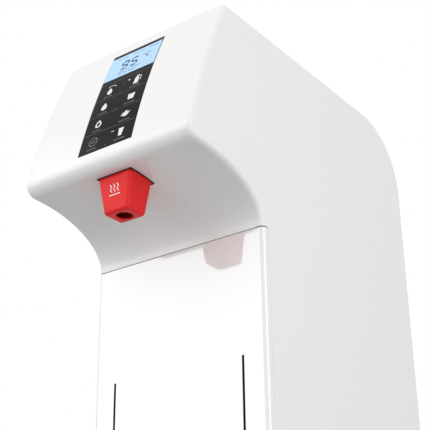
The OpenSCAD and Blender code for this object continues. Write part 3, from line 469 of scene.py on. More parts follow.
def face_curve(z_low, z_high, count=12):
    """The front face between two heights."""
    shape = bpy.context.scene.dispenser_shape
    return arc(face_centre(), shape.face_radius, face_angle(z_low), face_angle(z_high), count)


def brow_angle():
    """Angle on the face's circle at which its rounded upper edge starts."""
    shape = bpy.context.scene.dispenser_shape
    return face_angle(Z_TOP - shape.edge_radius, shape.edge_radius)


def brow_curve(count=10):
    """The rounded edge between the front face and the top: an arc that touches both."""
    shape = bpy.context.scene.dispenser_shape
    r, angle = shape.edge_radius, brow_angle()
    centre = face_centre() + (shape.face_radius - r) * np.array([-math.cos(angle), math.sin(angle)])
    return arc(centre, r, angle, math.pi / 2, count)


def face_start():
    """Height at which the lip passes into the front face."""
    shape = bpy.context.scene.dispenser_shape
    return lip_centre()[1] + shape.lip_radius * math.sin(shape.face_lean)


def face_end():
    """Height at which the front face passes into its rounded upper edge."""
    shape = bpy.context.scene.dispenser_shape
    return face_centre()[1] + shape.face_radius * math.sin(brow_angle())


def swept(profile, section):
    """Carries a section of (x, depth) pairs along a profile: P - depth N, at each x."""
    points, normals = profile
    x = np.array([s[0] for s in section])
    depth = np.array([s[1] for s in section])
    yz = points[:, None, :] - depth[None, :, None] * normals[:, None, :]
    return np.concatenate([np.broadcast_to(x[None, :, None], (len(points), len(x), 1)), yz], 2)


def edge_section(sign, flat_x, count=9):
    """The rounded edge from a panel's surface, at flat_x, round to the side: a quarter circle."""
    r = bpy.context.scene.dispenser_shape.edge_radius
    a = np.linspace(0, math.pi / 2, count)
    pairs = [(sign * (HALF_W - r + r * math.sin(q)), r - r * math.cos(q)) for q in a]
    return [(sign * flat_x, 0)] + pairs


def panel_section(half, inner=()):
    """Straight across, with lines at the inner places."""
    return [(x, 0) for x in sorted((-half, half, *inner))]


def softened(node, material, radius, segments=2):
    """A copy of a CAD node with its doubles merged and its sharp edges rounded."""
    source = frame["nodes"][node]
    mesh = source.data.copy()
    work = bmesh.new()
    work.from_mesh(mesh)
    bmesh.ops.remove_doubles(work, verts=work.verts, dist=1e-6)
    bmesh.ops.dissolve_limit(work, angle_limit=math.radians(1), verts=work.verts, edges=work.edges)
    work.to_mesh(mesh)
    work.free()
    mesh.materials.clear()
    mesh.materials.append(MATERIALS[material])
    mesh.polygons.foreach_set("use_smooth", [True] * len(mesh.polygons))
    piece = bpy.data.objects.new(node + "_body", mesh)
    bpy.context.scene.collection.objects.link(piece)
    round_edges(piece, radius, segments)
    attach(piece, source["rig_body"])
    slots = {s["node"]: s["material_slot"] for s in frame["record"]["subparts"]}
    return finish(piece, slots[node], node)


# ---------------------------------------------------------------- covers

class DISPENSER_OT_side_covers(bpy.types.Operator):
    """Builds the two side covers, with edges rounded over the head, the top and the rear"""
    bl_idname = "dispenser.side_covers"
    bl_label = "Side covers"

    def execute(self, context):
        for name, sign in (("left_side_cover", -1), ("right_side_cover", 1)):
            self.cover(name, sign)
        return {"FINISHED"}

    def cover(self, name, sign):
        """The rim follows the outline from the seam over the head and down the rear. The flat
        side is ruled across: level lines up to the lip, and chords over the head."""
        shape = bpy.context.scene.dispenser_shape
        under, under_normals = under_curve(30)
        rise = under[:, 1] - shape.edge_radius * under_normals[:, 1]
        head = joined(lip_curve(12), face_curve(face_start(), face_end(), 14), brow_curve(8))
        corner = arc((Y_BACK - shape.rear_radius, Z_TOP - shape.rear_radius), shape.rear_radius,
                     math.pi / 2, math.pi, 20)
        neck = straight(corner[0][-1], (Y_BACK, rise[-1]), (1, 0), 5)
        top = straight(head[0][-1], corner[0][0], (0, 1), len(head[0]) - len(corner[0]) - len(neck[0]) + 2)
        levels = np.concatenate([np.linspace(Z_BASE, Z_SEAM, 24), rise])
        back = np.stack([np.full(len(levels), Y_BACK), levels[::-1]], 1)
        back = back, np.tile([1.0, 0.0], (len(back), 1))
        strip = swept(joined((under, under_normals), head, top, corner, neck, back),
                      edge_section(sign, PANEL_HALF + FIT))
        rim = strip[:, -1]
        side_x = sign * HALF_W
        column = np.stack([np.full(24, side_x), np.full(24, Y_COL + WRAP + FIT), levels[:24]], 1)
        low_front = np.concatenate([column, rim[:len(under)]])
        low_back = rim[-len(levels):][::-1]
        upper = rim[len(under) - 1:-len(levels) + 1]
        count = len(head[0])
        high_front, high_back = upper[:count], upper[count - 1:][::-1]
        t = np.linspace(0, 1, 2)[:, None, None]
        patches = [(strip, True), (low_front * (1 - t) + low_back * t, False),
                   (high_front * (1 - t) + high_back * t, False)]
        piece = build(name + "_shell", patches, "casing_white", weld=2e-6,
                      outward=((side_x, 0, Z_BASE + 0.2), (sign, 0, 0)))
        round_edges(thicken(piece, shape.sheet), RIM_ROUNDING)
        finish(piece, "casing_white", name)


class DISPENSER_OT_front_fascia(bpy.types.Operator):
    """Builds the head's front: the curved underside, the lip and the face, open for the panel"""
    bl_idname = "dispenser.front_fascia"
    bl_label = "Front fascia"

    def execute(self, context):
        """The section is swept along the profile, and the cells behind the panel are left out."""
        shape = context.scene.dispenser_shape
        hole = GLASS_HIGH.x + HOLE_GAP
        low, high = GLASS_LOW.z - HOLE_GAP, GLASS_HIGH.z + HOLE_GAP
        under, under_normals = under_curve()
        soft = arc((Y_COL + SEAM_RISE, Z_SEAM + SEAM_RISE), SEAM_RISE, -math.pi / 2, 0, 5)
        brow = brow_curve()
        below = joined(soft, (under, under_normals), lip_curve(),
                       face_curve(face_start(), low))
        middle = face_curve(low, high, 16)
        above = joined(face_curve(high, face_end(), 4), brow,
                       straight(brow[0][-1], (TOP_FRONT - FIT, Z_TOP), (0, 1), 2))
        section = panel_section(PANEL_HALF, (-hole, -hole / 2, 0, hole / 2, hole))
        left = [s for s in section if s[0] <= -hole]
        right = [s for s in section if s[0] >= hole]
        patches = [(swept(below, section), True), (swept(above, section), True),
                   (swept(middle, left), True), (swept(middle, right), True)]
        piece = build("front_fascia_shell", patches, "casing_white", weld=2e-6,
                      outward=((0, Y_LIP, lip_centre()[1]), (0, -1, 0)))
        round_edges(thicken(piece, shape.sheet), RIM_ROUNDING)
        finish(piece, "casing_white", "front_fascia")
        return {"FINISHED"}


class DISPENSER_OT_top_cover(bpy.types.Operator):
    """Builds the top cover, which bends down over the rear corner"""
    bl_idname = "dispenser.top_cover"
    bl_label = "Top cover"

    def execute(self, context):
        """The section is swept along the top line and a quarter circle."""
        shape = context.scene.dispenser_shape
        r = shape.rear_radius
        corner = arc((Y_BACK - r, Z_TOP - r), r, math.pi / 2, math.pi, 30)
        flat = straight((TOP_FRONT, Z_TOP), corner[0][0], (0, 1), 8)
        patch = swept(joined(flat, corner), panel_section(PANEL_HALF))
        piece = build("top_cover_shell", [(patch, True)], "casing_white", outward=((0, 0, Z_TOP), (0, 0, 1)))
        round_edges(thicken(piece, shape.sheet), RIM_ROUNDING)
        finish(piece, "casing_white", "top_cover")
        return {"FINISHED"}


class DISPENSER_OT_splash_panel(bpy.types.Operator):
    """Builds the glossy panel behind the cup, wrapped round the column's corners, with two slots"""
    bl_idname = "dispenser.splash_panel"
    bl_label = "Splash panel"

    def execute(self, context):
        """The U-shaped section is swept up the column, without the cells of the slots."""
        shape = context.scene.dispenser_shape
        r = shape.edge_radius
        channel_low, channel_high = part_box("shelf_channels")
        slot_x = (channel_low.x + channel_high.x) / 2 + (channel_high.x - channel_low.x) / 2 - CHANNEL_HALF
        half = shape.slot_width / 2
        slot_low, slot_high = channel_low.z + CHANNEL_OVERLAP, channel_high.z - CHANNEL_OVERLAP
        a = np.linspace(0, math.pi / 2, 12)
        bend = [(HALF_W - r + r * math.sin(q), r - r * math.cos(q)) for q in a] + [(HALF_W, WRAP)]
        lines = [(0, 0), (slot_x - half, 0), (slot_x + half, 0)] + bend
        section = [(-x, d) for x, d in lines[:0:-1]] + lines
        top_z = SPLASH_HIGH.z
        rows = [straight((Y_COL, Z_BASE), (Y_COL, slot_low), (-1, 0), 2),
                straight((Y_COL, slot_low), (Y_COL, slot_high), (-1, 0), 2),
                straight((Y_COL, slot_high), (Y_COL, top_z), (-1, 0), 2)]
        columns = self.between(section, slot_x, half)
        patches = [(swept(rows[0], section), True), (swept(rows[2], section), True)]
        patches += [(swept(rows[1], part), True) for part in columns]
        piece = build("splash_panel_shell", patches, "splash_white", weld=2e-6,
                      outward=((0, Y_COL, Z_BASE + 0.1), (0, -1, 0)))
        thicken(piece, shape.sheet)
        round_edges(piece, 0.5 * MM, 3)
        finish(piece, "splash_white", "splash_panel")
        self.slot_shade_liners(slot_x, half, slot_low, slot_high)
        return {"FINISHED"}

    @staticmethod
    def between(section, slot_x, half):
        """The parts of the section outside the two slots."""
        near = 0.001 * MM                  # rounding of the places of the lines
        left = [s for s in section if s[0] <= -slot_x - half + near]
        middle = [s for s in section if abs(s[0]) <= slot_x - half + near]
        right = [s for s in section if s[0] >= slot_x + half - near]
        return left, middle, right

    @staticmethod
    def slot_shade_liners(slot_x, half, low, high):
        """Painted shade in the slots: a thin near-black frame of four faces on the slot walls, turned in at
        its ends.
        """
        t = SLOT_SHADE_WALL
        y0, y1 = Y_COL + SLOT_SHADE_SINK, Y_COL + SLOT_SHADE_BACK
        for name, x in (("slot_shade_left", -slot_x), ("slot_shade_right", slot_x)):
            outer = [(x - half, low), (x + half, low), (x + half, high), (x - half, high), (x - half, low)]
            inner = [(x - half + t, low + t), (x + half - t, low + t), (x + half - t, high - t),
                     (x - half + t, high - t), (x - half + t, low + t)]
            rings = [[(px, y0, pz) for px, pz in outer], [(px, y0, pz) for px, pz in inner],
                     [(px, y1, pz) for px, pz in inner], [(px, y1, pz) for px, pz in outer],
                     [(px, y0, pz) for px, pz in outer]]
            # painted shade: the frame's near-black shadow finish darkens the slot walls where shade falls
            piece = build(name, [(np.array(rings), False)], "shadow")
            finish(piece, "seal_black")


class DISPENSER_OT_rear_and_base(bpy.types.Operator):
    """Rounds the edges of the rear panel and the base moulding"""
    bl_idname = "dispenser.rear_and_base"
    bl_label = "Rear panel and base"

    def execute(self, context):
        softened("rear_panel", "casing_white", 0.4 * MM)
        softened("base_pan", "casing_white", 1.2 * MM, segments=3)
        return {"FINISHED"}


# ---------------------------------------------------------------- touch panel

def on_glass(s, t, lift):
    """Points on the front face: s across from the middle, t down from the panel's upper edge.

    The face is a cylinder, so a point's angle is the upper edge's angle less t / R.
    """
    shape = bpy.context.scene.dispenser_shape
    angle = face_angle(GLASS_HIGH.z) - np.asarray(t, float) / shape.face_radius
    radius = shape.face_radius + lift
    centre = face_centre()
    s = np.asarray(s, float)
    return np.stack([s, centre[0] - radius * np.cos(angle), centre[1] + radius * np.sin(angle)], -1)


def glass_length():
    """Length of the panel along the face's curve."""
    shape = bpy.context.scene.dispenser_shape
    return (face_angle(GLASS_HIGH.z) - face_angle(GLASS_LOW.z)) * shape.face_radius


class DISPENSER_OT_touch_panel(bpy.types.Operator):
    """Builds the curved black glass of the touch panel and the lit display in it"""
    bl_idname = "dispenser.touch_panel"
    bl_label = "Touch panel"

    def execute(self, context):
        """The glass is a plate of the face's curve, with a small rounding along its edges."""
        display = context.scene.dispenser_display
        half = GLASS_HIGH.x
        s, t = np.linspace(-half, half, 9), np.linspace(0, glass_length(), 24)
        plate = on_glass(s[None, :] + 0 * t[:, None], t[:, None] + 0 * s[None, :], GLASS_PROUD)
        piece = build("touch_glass", [(plate, True)], "panel_black", outward=(plate[12, 4], (0, -1, 0.3)))
        round_edges(thicken(piece, GLASS_THICKNESS), 0.4 * MM)
        finish(piece, "panel_black", "touch_panel")
        self.lit_area(display, half)
        return {"FINISHED"}

    @staticmethod
    def lit_area(display, half):
        """The display: a thin sheet of the face's curve laid on the glass."""
        side = half - 0.45 * MM
        s = np.linspace(-side, side, 9)
        t = np.linspace(display.top_strip, display.top_strip + display.lcd_length, 10)
        sheet = on_glass(s[None, :] + 0 * t[:, None], t[:, None] + 0 * s[None, :],
                         GLASS_PROUD + DISPLAY_LIFT)
        piece = build("display_light", [(sheet, True)], "lcd_blue", outward=(sheet[5, 4], (0, -1, 0.3)))
        finish(piece, "lcd_blue")


# Marks are outlines in the panel's own (s, t) coordinates, in millimetres, with t down.

def stroke(points, width, closed=False):
    """A ribbon along a line: each point moved half the width to either side of it."""
    p = np.asarray(points, float)
    if closed:
        p = np.concatenate([p, p[:1]])
    d = np.gradient(p, axis=0)
    if closed:
        d[0] = d[-1] = p[1] - p[-2]
    n = np.stack([-d[:, 1], d[:, 0]], 1)
    n /= np.linalg.norm(n, axis=1, keepdims=True)
    return np.stack([p - n * width / 2, p + n * width / 2], 1)


def fan(points):
    """A filled outline that its centre can see: rings from the outline to the centre."""
    p = np.asarray(points, float)
    p = np.concatenate([p, p[:1]])
    centre = p[:-1].mean(0)
    return np.stack([p, centre + 0.5 * (p - centre), np.tile(centre, (len(p), 1))], 1)


def between_lines(left, right):
    """A filled shape between two lines of as many points."""
    return np.stack([np.asarray(left, float), np.asarray(right, float)], 1)


def circle_points(cx, cy, r, start=0.0, end=2 * math.pi, count=28, squash=1.0):
    """Points on an arc, from the +s direction towards +t, squashed along t."""
    a = np.linspace(start, end, count)
    return np.stack([cx + r * np.cos(a), cy + squash * r * np.sin(a)], 1)


def drop_points(cx, cy, r, count=32):
    """A water drop: a circle whose upper half is drawn out to a point, x = r sin a sin(a/2)."""
    a = np.linspace(0, 2 * math.pi, count, endpoint=False)
    return np.stack([cx + 1.2 * r * np.sin(a) * np.abs(np.sin(a / 2)), cy - 1.3 * r * np.cos(a)], 1)


def dashes(start, end, t, width):
    """A row of short bars from start to end, of uneven length, like words seen from afar."""
    edges = start + (end - start) * np.array([0, 0.27, 0.33, 0.52, 0.58, 1.0])
    return [stroke([(a, t), ((a + b) / 2, t), (b, t)], width) for a, b in zip(edges[::2], edges[1::2])]


def marks_mesh(name, marks, material, slot):
    """Lays marks of (s, t) grids on the glass as one thin piece."""
    patches = []
    for mark in marks:
        m = np.asarray(mark) * MM
        patches.append((on_glass(m[..., 0], m[..., 1], MARK_LIFT + GLASS_PROUD), False))
    piece = build(name, patches, material, weld=1e-7)
    face_out(piece)
    return finish(piece, slot)


def face_out(piece):
    """Turns every face of a thin mark towards the front."""
    work = bmesh.new()
    work.from_mesh(piece.data)
    wrong = [f for f in work.faces if f.normal.y > 0]
    bmesh.ops.reverse_faces(work, faces=wrong)
    work.to_mesh(piece.data)
    work.free()


SEGMENTS = {0: "abcdef", 1: "bc", 2: "abged", 3: "abgcd", 4: "fgbc", 5: "afgcd", 6: "afgedc", 7: "abc",
            8: "abcdefg", 9: "abcdfg"}


def digit(value, s, t, w, h, thick, slant=0.12):
    """A seven-segment numeral whose upper left is (s, t): each segment is a tapered bar."""
    bars = {"a": ((0, 0), (1, 0)), "b": ((1, 0), (1, .5)), "c": ((1, .5), (1, 1)), "d": ((0, 1), (1, 1)),
            "e": ((0, .5), (0, 1)), "f": ((0, 0), (0, .5)), "g": ((0, .5), (1, .5))}
    marks = []
    for key in SEGMENTS[value]:
        (x0, y0), (x1, y1) = bars[key]
        p0, p1 = np.array([x0 * w, y0 * h]), np.array([x1 * w, y1 * h])
        d = (p1 - p0) / np.linalg.norm(p1 - p0)
        n = np.array([-d[1], d[0]]) * thick / 2
        p0, p1 = p0 + d * 0.18 * thick, p1 - d * 0.18 * thick
        a, b = p0 + d * thick / 2, p1 - d * thick / 2
        bar = np.array([[p0, p0], [a - n, a + n], [b - n, b + n], [p1, p1]])
        bar[..., 0] += s + slant * (h - bar[..., 1])
        bar[..., 1] += t
        marks.append(bar)
    return marks


class DISPENSER_OT_display_marks(bpy.types.Operator):
    """Draws the temperature, the key symbols and the fine dividing lines on the touch panel"""
    bl_idname = "dispenser.display_marks"
    bl_label = "Display marks"

    def execute(self, context):
        display = context.scene.dispenser_display
        marks_mesh("display_numbers", self.numbers(display), "print_dark", "plastic_black")
        marks_mesh("display_lines", self.fine_lines(), "print_dark", "plastic_black")
        marks_mesh("key_symbols", self.symbols(display), "print_white", "casing_white")
        marks_mesh("key_captions", self.faint(display), "print_faint", "plastic_grey")
        marks_mesh("key_dividers", self.dividers(display), "print_grey", "plastic_grey")
        return {"FINISHED"}

    @staticmethod
    def numbers(display):
        """Two numerals, a degree ring and an open ring for Celsius."""
        tens, ones = divmod(display.temperature, 10)
        marks = digit(tens, -17.0, 20.2, 9.0, 13.0, 2.7) + digit(ones, -3.0, 20.2, 9.0, 13.0, 2.7)
        marks.append(stroke(circle_points(15.0, 21.0, 1.0), 0.7, True))
        marks.append(stroke(circle_points(22.0, 23.6, 3.2, 0.8, 2 * math.pi - 0.8, 20, 1.1), 1.3))
        return marks

    @staticmethod
    def fine_lines():
        """Three short bars over the numerals and two long ones under them, broken like words."""
        bars = [(-27, -13, 10.6), (-4, 12, 10.6), (19, 33, 10.6), (-18, 14, 37.6), (-18, 9, 42.0)]
        return [mark for a, b, t in bars for mark in dashes(a, b, t, 0.95)]

    def symbols(self, display):
        """Two symbols in each of four rows."""
        col = display.column / MM
        right = (self.thermos, self.cup, self.teapot, self.tumbler)
        left = (self.drop_and_arc, self.drop, self.hollow_drop)
        marks = [mark for row in range(4) for mark in right[row](col, self.row_middle(display, row))]
        marks += [mark for row in range(3) for mark in left[row](-col, self.row_middle(display, row))]
        top, low = self.row_middle(display, 0) - 5, self.row_middle(display, 3) - 5
        marks += [stroke([(5.4, top), (7, top), (8.6, top)], 0.9),
                  stroke([(7, top - 1.6), (7, top), (7, top + 1.6)], 0.9),
                  stroke([(5.0, low), (7, low), (9.0, low)], 0.9)]
        return marks

    def faint(self, display):
        """Caption bars below the symbols, and the stop ring."""
        col = display.column / MM
        marks = []
        for row in range(4):
            t = self.row_middle(display, row) + 10.0
            marks += dashes(col - 7.5, col + 7.5, t, 0.7) + dashes(-col - 6.5, 6.0 - col, t, 0.7)
        return marks + self.stop_ring(-col, self.row_middle(display, 3))

    @staticmethod
    def row_middle(display, row):
        """Middle of a row's symbols, in millimetres down the panel."""
        return (display.row_start + (row + 0.5) * display.row_pitch) / MM - 0.6

    @staticmethod
    def thermos(x, t):
        body = between_lines([(x - 1.6, t - 5), (x - 3.2, t - 3), (x - 3.8, t + 6.4)],
                             [(x + 1.6, t - 5), (x + 2.6, t - 3), (x + 3.2, t + 6.4)])
        lid = between_lines([(x - 1.8, t - 7.0), (x - 2, t - 5.6)], [(x + 2.6, t - 7.4), (x + 2, t - 5.6)])
        handle = stroke([(x + 2.4, t - 5.4), (x + 5.0, t - 5.0), (x + 5.4, t - 1.0), (x + 4.8, t + 2.4)], 1.0)
        return [body, lid, handle]

    @staticmethod
    def cup(x, t):
        return [between_lines([(x - 5.0, t - 3.8), (x - 4.0, t + 4.0), (x - 3.6, t + 4.6)],
                              [(x + 5.0, t - 3.8), (x + 4.0, t + 4.0), (x + 3.6, t + 4.6)])]

    @staticmethod
    def teapot(x, t):
        body = fan(circle_points(x - 0.2, t + 0.8, 3.9, 0, 2 * math.pi, 28, 0.9)[:-1])
        spout = between_lines([(x + 2.6, t + 0.6), (x + 4.9, t - 2.0)],
                              [(x + 3.0, t + 3.0), (x + 6.2, t - 1.2)])
        handle = stroke(circle_points(x - 3.9, t + 0.6, 2.0, 1.4, 4.9, 14), 0.9)
        lid = between_lines([(x - 0.8, t - 4.2), (x - 2.2, t - 2.6)],
                            [(x + 0.6, t - 4.2), (x + 2.0, t - 2.6)])
        return [body, spout, handle, lid]

    @staticmethod
    def tumbler(x, t):
        return [between_lines([(x - 3.6, t - 5.4), (x - 2.2, t + 5.4)],
                              [(x + 3.6, t - 5.4), (x + 2.2, t + 5.4)])]

    @staticmethod
    def drop(x, t):
        return [fan(drop_points(x, t, 4.3))]

    def drop_and_arc(self, x, t):
        arcs = stroke(circle_points(x + 1, t + 1.6, 8.6, -2.2, -0.7, 16), 0.8)
        return [fan(drop_points(x, t + 1.6, 3.9)), arcs]

    @staticmethod
    def hollow_drop(x, t):
        return [stroke(drop_points(x, t, 3.5), 2.0, True)]

    @staticmethod
    def stop_ring(x, t):
        bar = stroke([(x - 2.4, t + 1.6), (x, t), (x + 2.4, t - 1.6)], 1.0)
        return [stroke(circle_points(x, t, 5.6)[:-1], 0.7, True), bar]

    @staticmethod
    def dividers(display):
        """A fine line between rows, and one between the two columns."""
        half = GLASS_HIGH.x / MM - 1.4
        rows = [display.row_start / MM + k * display.row_pitch / MM for k in range(4)]
        end = glass_length() / MM - 2
        return ([stroke([(-half, t), (0, t), (half, t)], 0.35) for t in rows]
                + [stroke([(0.5, rows[0] + 9), (0.5, 0.5 * (rows[0] + end)), (0.5, end)], 0.3)])


# ---------------------------------------------------------------- outlet cap

class DISPENSER_OT_outlet_cap(bpy.types.Operator):
    """Builds the tapered square outlet cap with rounded edges, and the mark on its front"""
    bl_idname = "dispenser.outlet_cap"
    bl_label = "Outlet cap"

    wall: FloatProperty(name="Wall", description="Wall thickness of the cap", default=2 * MM, unit="LENGTH")
    corner: FloatProperty(name="Corner", description="Radius of the upright edges", default=4.2 * MM,
                          unit="LENGTH")
    foot: FloatProperty(name="Foot", description="Radius of the lower edges", default=3.2 * MM, unit="LENGTH")

    def execute(self, context):
        """Rounded rectangles on a list of levels, whose sides follow the cap's taper. The upper
        edge follows the curved underside, and the floor closes on a round hole."""
        shape = context.scene.dispenser_shape
        self.cy = (CAP_LOW.y + CAP_HIGH.y) / 2
        self.z0 = CAP_LOW.z
        self.full = Z_SEAM + shape.under_rise - self.z0
        a = np.linspace(0, math.pi / 2, 7)
        rings = [self.ring(0.0, self.z0 + level * self.full)
                 for level in (1.0, 0.9, 0.75, 0.6, 0.45, 0.3, 0.2)]
        for q in a:
            drop = self.foot * (1 - math.sin(q))
            inset = self.foot * (1 - math.cos(q))
            rings.append(self.ring(-inset, self.z0 + drop))
        hole = CAP_HOLE / 2
        rings += [self.blend_ring(-self.foot, k, hole + 0.5 * MM, self.z0) for k in (0.5, 1.0)]
        rings += [self.circle(hole + 0.15 * MM, self.z0 + 0.1 * MM), self.circle(hole, self.z0 + 0.5 * MM),
                  self.circle(hole, self.z0 + self.wall)]
        rings += [self.blend_ring(-self.wall - 1 * MM, 0.0, hole, self.z0 + self.wall)]
        rings += [self.ring(-self.wall, self.z0 + level * self.full) for level in (0.1, 0.4, 0.7, 1.0)]
        rings.append(rings[0])
        piece = build("outlet_cap_shell", [(np.array(rings), True)], "cap_red", "cap")
        finish(piece, "cap_red", "outlet_cap")
        self.steam_mark()
        return {"FINISHED"}

    def size_at(self, z):
        """Width and depth of the cap at a height: straight between its two ends."""
        k = (z - self.z0) / self.full
        return (CAP_LOW_SIZE[0] + (CAP_SIZE[0] - CAP_LOW_SIZE[0]) * k,
                CAP_LOW_SIZE[1] + (CAP_SIZE[1] - CAP_LOW_SIZE[1]) * k)

    def ring(self, grow, z):
        """A rounded rectangle at a height, moved inwards by -grow, and trimmed by the underside."""
        w, d = self.size_at(z)
        w, d = w / 2 + grow, d / 2 + grow
        r = max(self.corner + grow, 0.6 * MM)
        points = []
        for sx, sy, start in ((1, 1, 0), (-1, 1, 1), (-1, -1, 2), (1, -1, 3)):
            q = np.linspace(0, math.pi / 2, 7) + start * math.pi / 2
            points.append(np.stack([sx * (w - r) + r * np.cos(q), sy * (d - r) + r * np.sin(q)], 1))
            nxt = {0: (-(w - r), d), 1: (-w, -(d - r)), 2: (w - r, -d), 3: (w, d - r)}[start]
            last = points[-1][-1]
            t = np.linspace(0, 1, 6)[1:-1, None]
            points.append(last * (1 - t) + np.array(nxt) * t)
        p = np.concatenate(points)
        p = np.concatenate([p, p[:1]])
        height = np.full(len(p), z)
        height = np.minimum(height, self.underside(self.cy + p[:, 1]) - CAP_DROP)
        return np.stack([p[:, 0], self.cy + p[:, 1], height], 1)

    @staticmethod
    def underside(y):
        """Height of the underside's ellipse at y."""
        shape = bpy.context.scene.dispenser_shape
        a = Y_COL - Y_LIP - shape.lip_radius
        u = np.clip((y - Y_COL + a) / a, 0, 1)
        return Z_SEAM + shape.under_rise * np.sqrt(1 - u * u)

    def circle(self, r, z):
        """A circle with the ring's number of points, at the same angles."""
        ring = self.ring(-self.foot, self.z0)
        angle = np.arctan2(ring[:, 1] - self.cy, ring[:, 0])
        return np.stack([r * np.cos(angle), self.cy + r * np.sin(angle), np.full(len(ring), z)], 1)

    def blend_ring(self, grow, k, r, z):
        """Part of the way from a rounded rectangle to a circle, at one height."""
        ring = self.ring(grow, self.z0)
        ring[:, 2] = z
        return ring * (1 - k) + self.circle(r, z) * k

    def steam_mark(self):
        """Three wavy lines over a short bar on the front of the cap: a plain sign for hot water."""
        z_mid = self.z0 + 0.62 * self.full
        lines = []
        for k in (-1, 0, 1):
            v = np.linspace(-4.6, 4.6, 20)
            lines.append(stroke(np.stack([k * 4.6 + 1.0 * np.sin(v * 1.1), v], 1), 1.1))
        lines.append(stroke([(-7.4, -7.4), (0, -7.4), (7.4, -7.4)], 1.1))
        patches = []
        for line in lines:
            x, z = line[..., 0] * MM, z_mid + line[..., 1] * MM
            _, depth = self.size_at(z)
            patches.append((np.stack([x, self.cy - depth / 2 - PRINT_LIFT, z], -1), False))
        piece = build("cap_mark", patches, "print_white", "cap", weld=1e-7)
        face_out(piece)
        finish(piece, "casing_white")


# ---------------------------------------------------------------- tray, grid and shelf

class DISPENSER_OT_tray_front(bpy.types.Operator):
    """Rounds the edges of the drip tray and its front"""
    bl_idname = "dispenser.tray_front"
    bl_label = "Tray front"

    def execute(self, context):
        softened("tray_front", "casing_white", 1.0 * MM, segments=3)
        softened("drip_tray", "plastic_grey", 0.6 * MM)
        return {"FINISHED"}


class DISPENSER_OT_cup_shelf(bpy.types.Operator):
    """Rounds the edges of the steel cup shelf"""
    bl_idname = "dispenser.cup_shelf"
    bl_label = "Cup shelf"

    def execute(self, context):
        softened("cup_shelf", "steel", 0.3 * MM)
        return {"FINISHED"}


# ---------------------------------------------------------------- rest of the frame

class DISPENSER_OT_valve_spring(bpy.types.Operator):
    """Builds the coil spring over the valve's plunger, at the length of the frame's spring part"""
    bl_idname = "dispenser.valve_spring"
    bl_label = "Valve spring"
    turns: IntProperty(name="Turns", default=9, min=5, max=12)
    wire: FloatProperty(name="Wire", description="Radius of the wire", default=0.34 * MM, min=0.2 * MM,
                        max=0.35 * MM, subtype="DISTANCE", precision=5)

    def execute(self, context):
        """Rings of radius w round (R cos t, R sin t, z(t)), closed by a point at each end of the wire."""
        low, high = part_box("plunger_spring")
        centre = (low + high) / 2
        radius = (high.x - low.x) / 2 - self.wire - 0.02 * MM
        bottom, height = low.z + self.wire, high.z - low.z - 2 * self.wire
        t = np.linspace(0, 2 * math.pi * self.turns, 16 * self.turns + 1)
        path = np.stack([centre.x + radius * np.cos(t), centre.y + radius * np.sin(t),
                         bottom + height * t / t[-1]], 1)
        out = np.stack([np.cos(t), np.sin(t), 0 * t], 1)
        along = np.gradient(path, axis=0)
        along /= np.linalg.norm(along, axis=1)[:, None]
        side = np.cross(along, out)
        q = np.linspace(0, 2 * math.pi, 9)
        turn = np.cos(q)[:, None] * out[:, None] + np.sin(q)[:, None] * side[:, None]
        rings = path[:, None] + self.wire * turn
        ends = [np.tile(path[i], (1, len(q), 1)) for i in (0, -1)]
        grid = np.concatenate([ends[0], rings, ends[1]])
        piece = build("plunger_spring_coil", [(grid, False)], "steel")
        finish(piece, "steel", "plunger_spring")
        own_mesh(piece)
        return {"FINISHED"}


class DISPENSER_OT_materials(bpy.types.Operator):
    """Makes the materials and gives every kept CAD node the one of its slot"""
    bl_idname = "dispenser.materials"
    bl_label = "Materials"

    def execute(self, context):
        make_materials()
        for part in frame["record"]["subparts"]:
            node = frame["nodes"][part["node"]]
            for slot in node.material_slots:
                slot.material = MATERIALS[part["material_slot"]]
        return {"FINISHED"}


# ---------------------------------------------------------------- stage

# Name, azimuth and elevation in degrees, distance in metres, power in watts, width and height in metres.
LIGHTS = (("key", -36, 25, 2.0, 13.5, (1.8, 1.7)),
          ("fill", 80, 15, 2.2, 8.5, (1.4, 1.4)),
          ("low", 52, -2, 1.6, 2.6, (0.7, 0.5)))
LIT_MIDDLE = Vector((0, 0, 0.36))          # what the lights are turned towards
FLOOR_HALF = 6.0                           # half of the floor's width
WORLD_STRENGTH = 0.80                      # of the surroundings, as they light the object
BACKDROP_STRENGTH = 1.0                    # of the surroundings, as the camera sees them
CAMERA_PLACE = (0.6687, -0.9486, 0.0230)
CAMERA_ANGLES = (36.45, -24.41, -0.743)    # azimuth, elevation and roll in degrees
CAMERA_LENS = 87.88                        # focal length in mm on a sensor 36 mm wide


def direction(azimuth, elevation):
    """A unit vector; azimuth runs from the front, -Y, towards +X."""
    a, e = azimuth, elevation
    return Vector((math.sin(a) * math.cos(e), -math.cos(a) * math.cos(e), math.sin(e)))


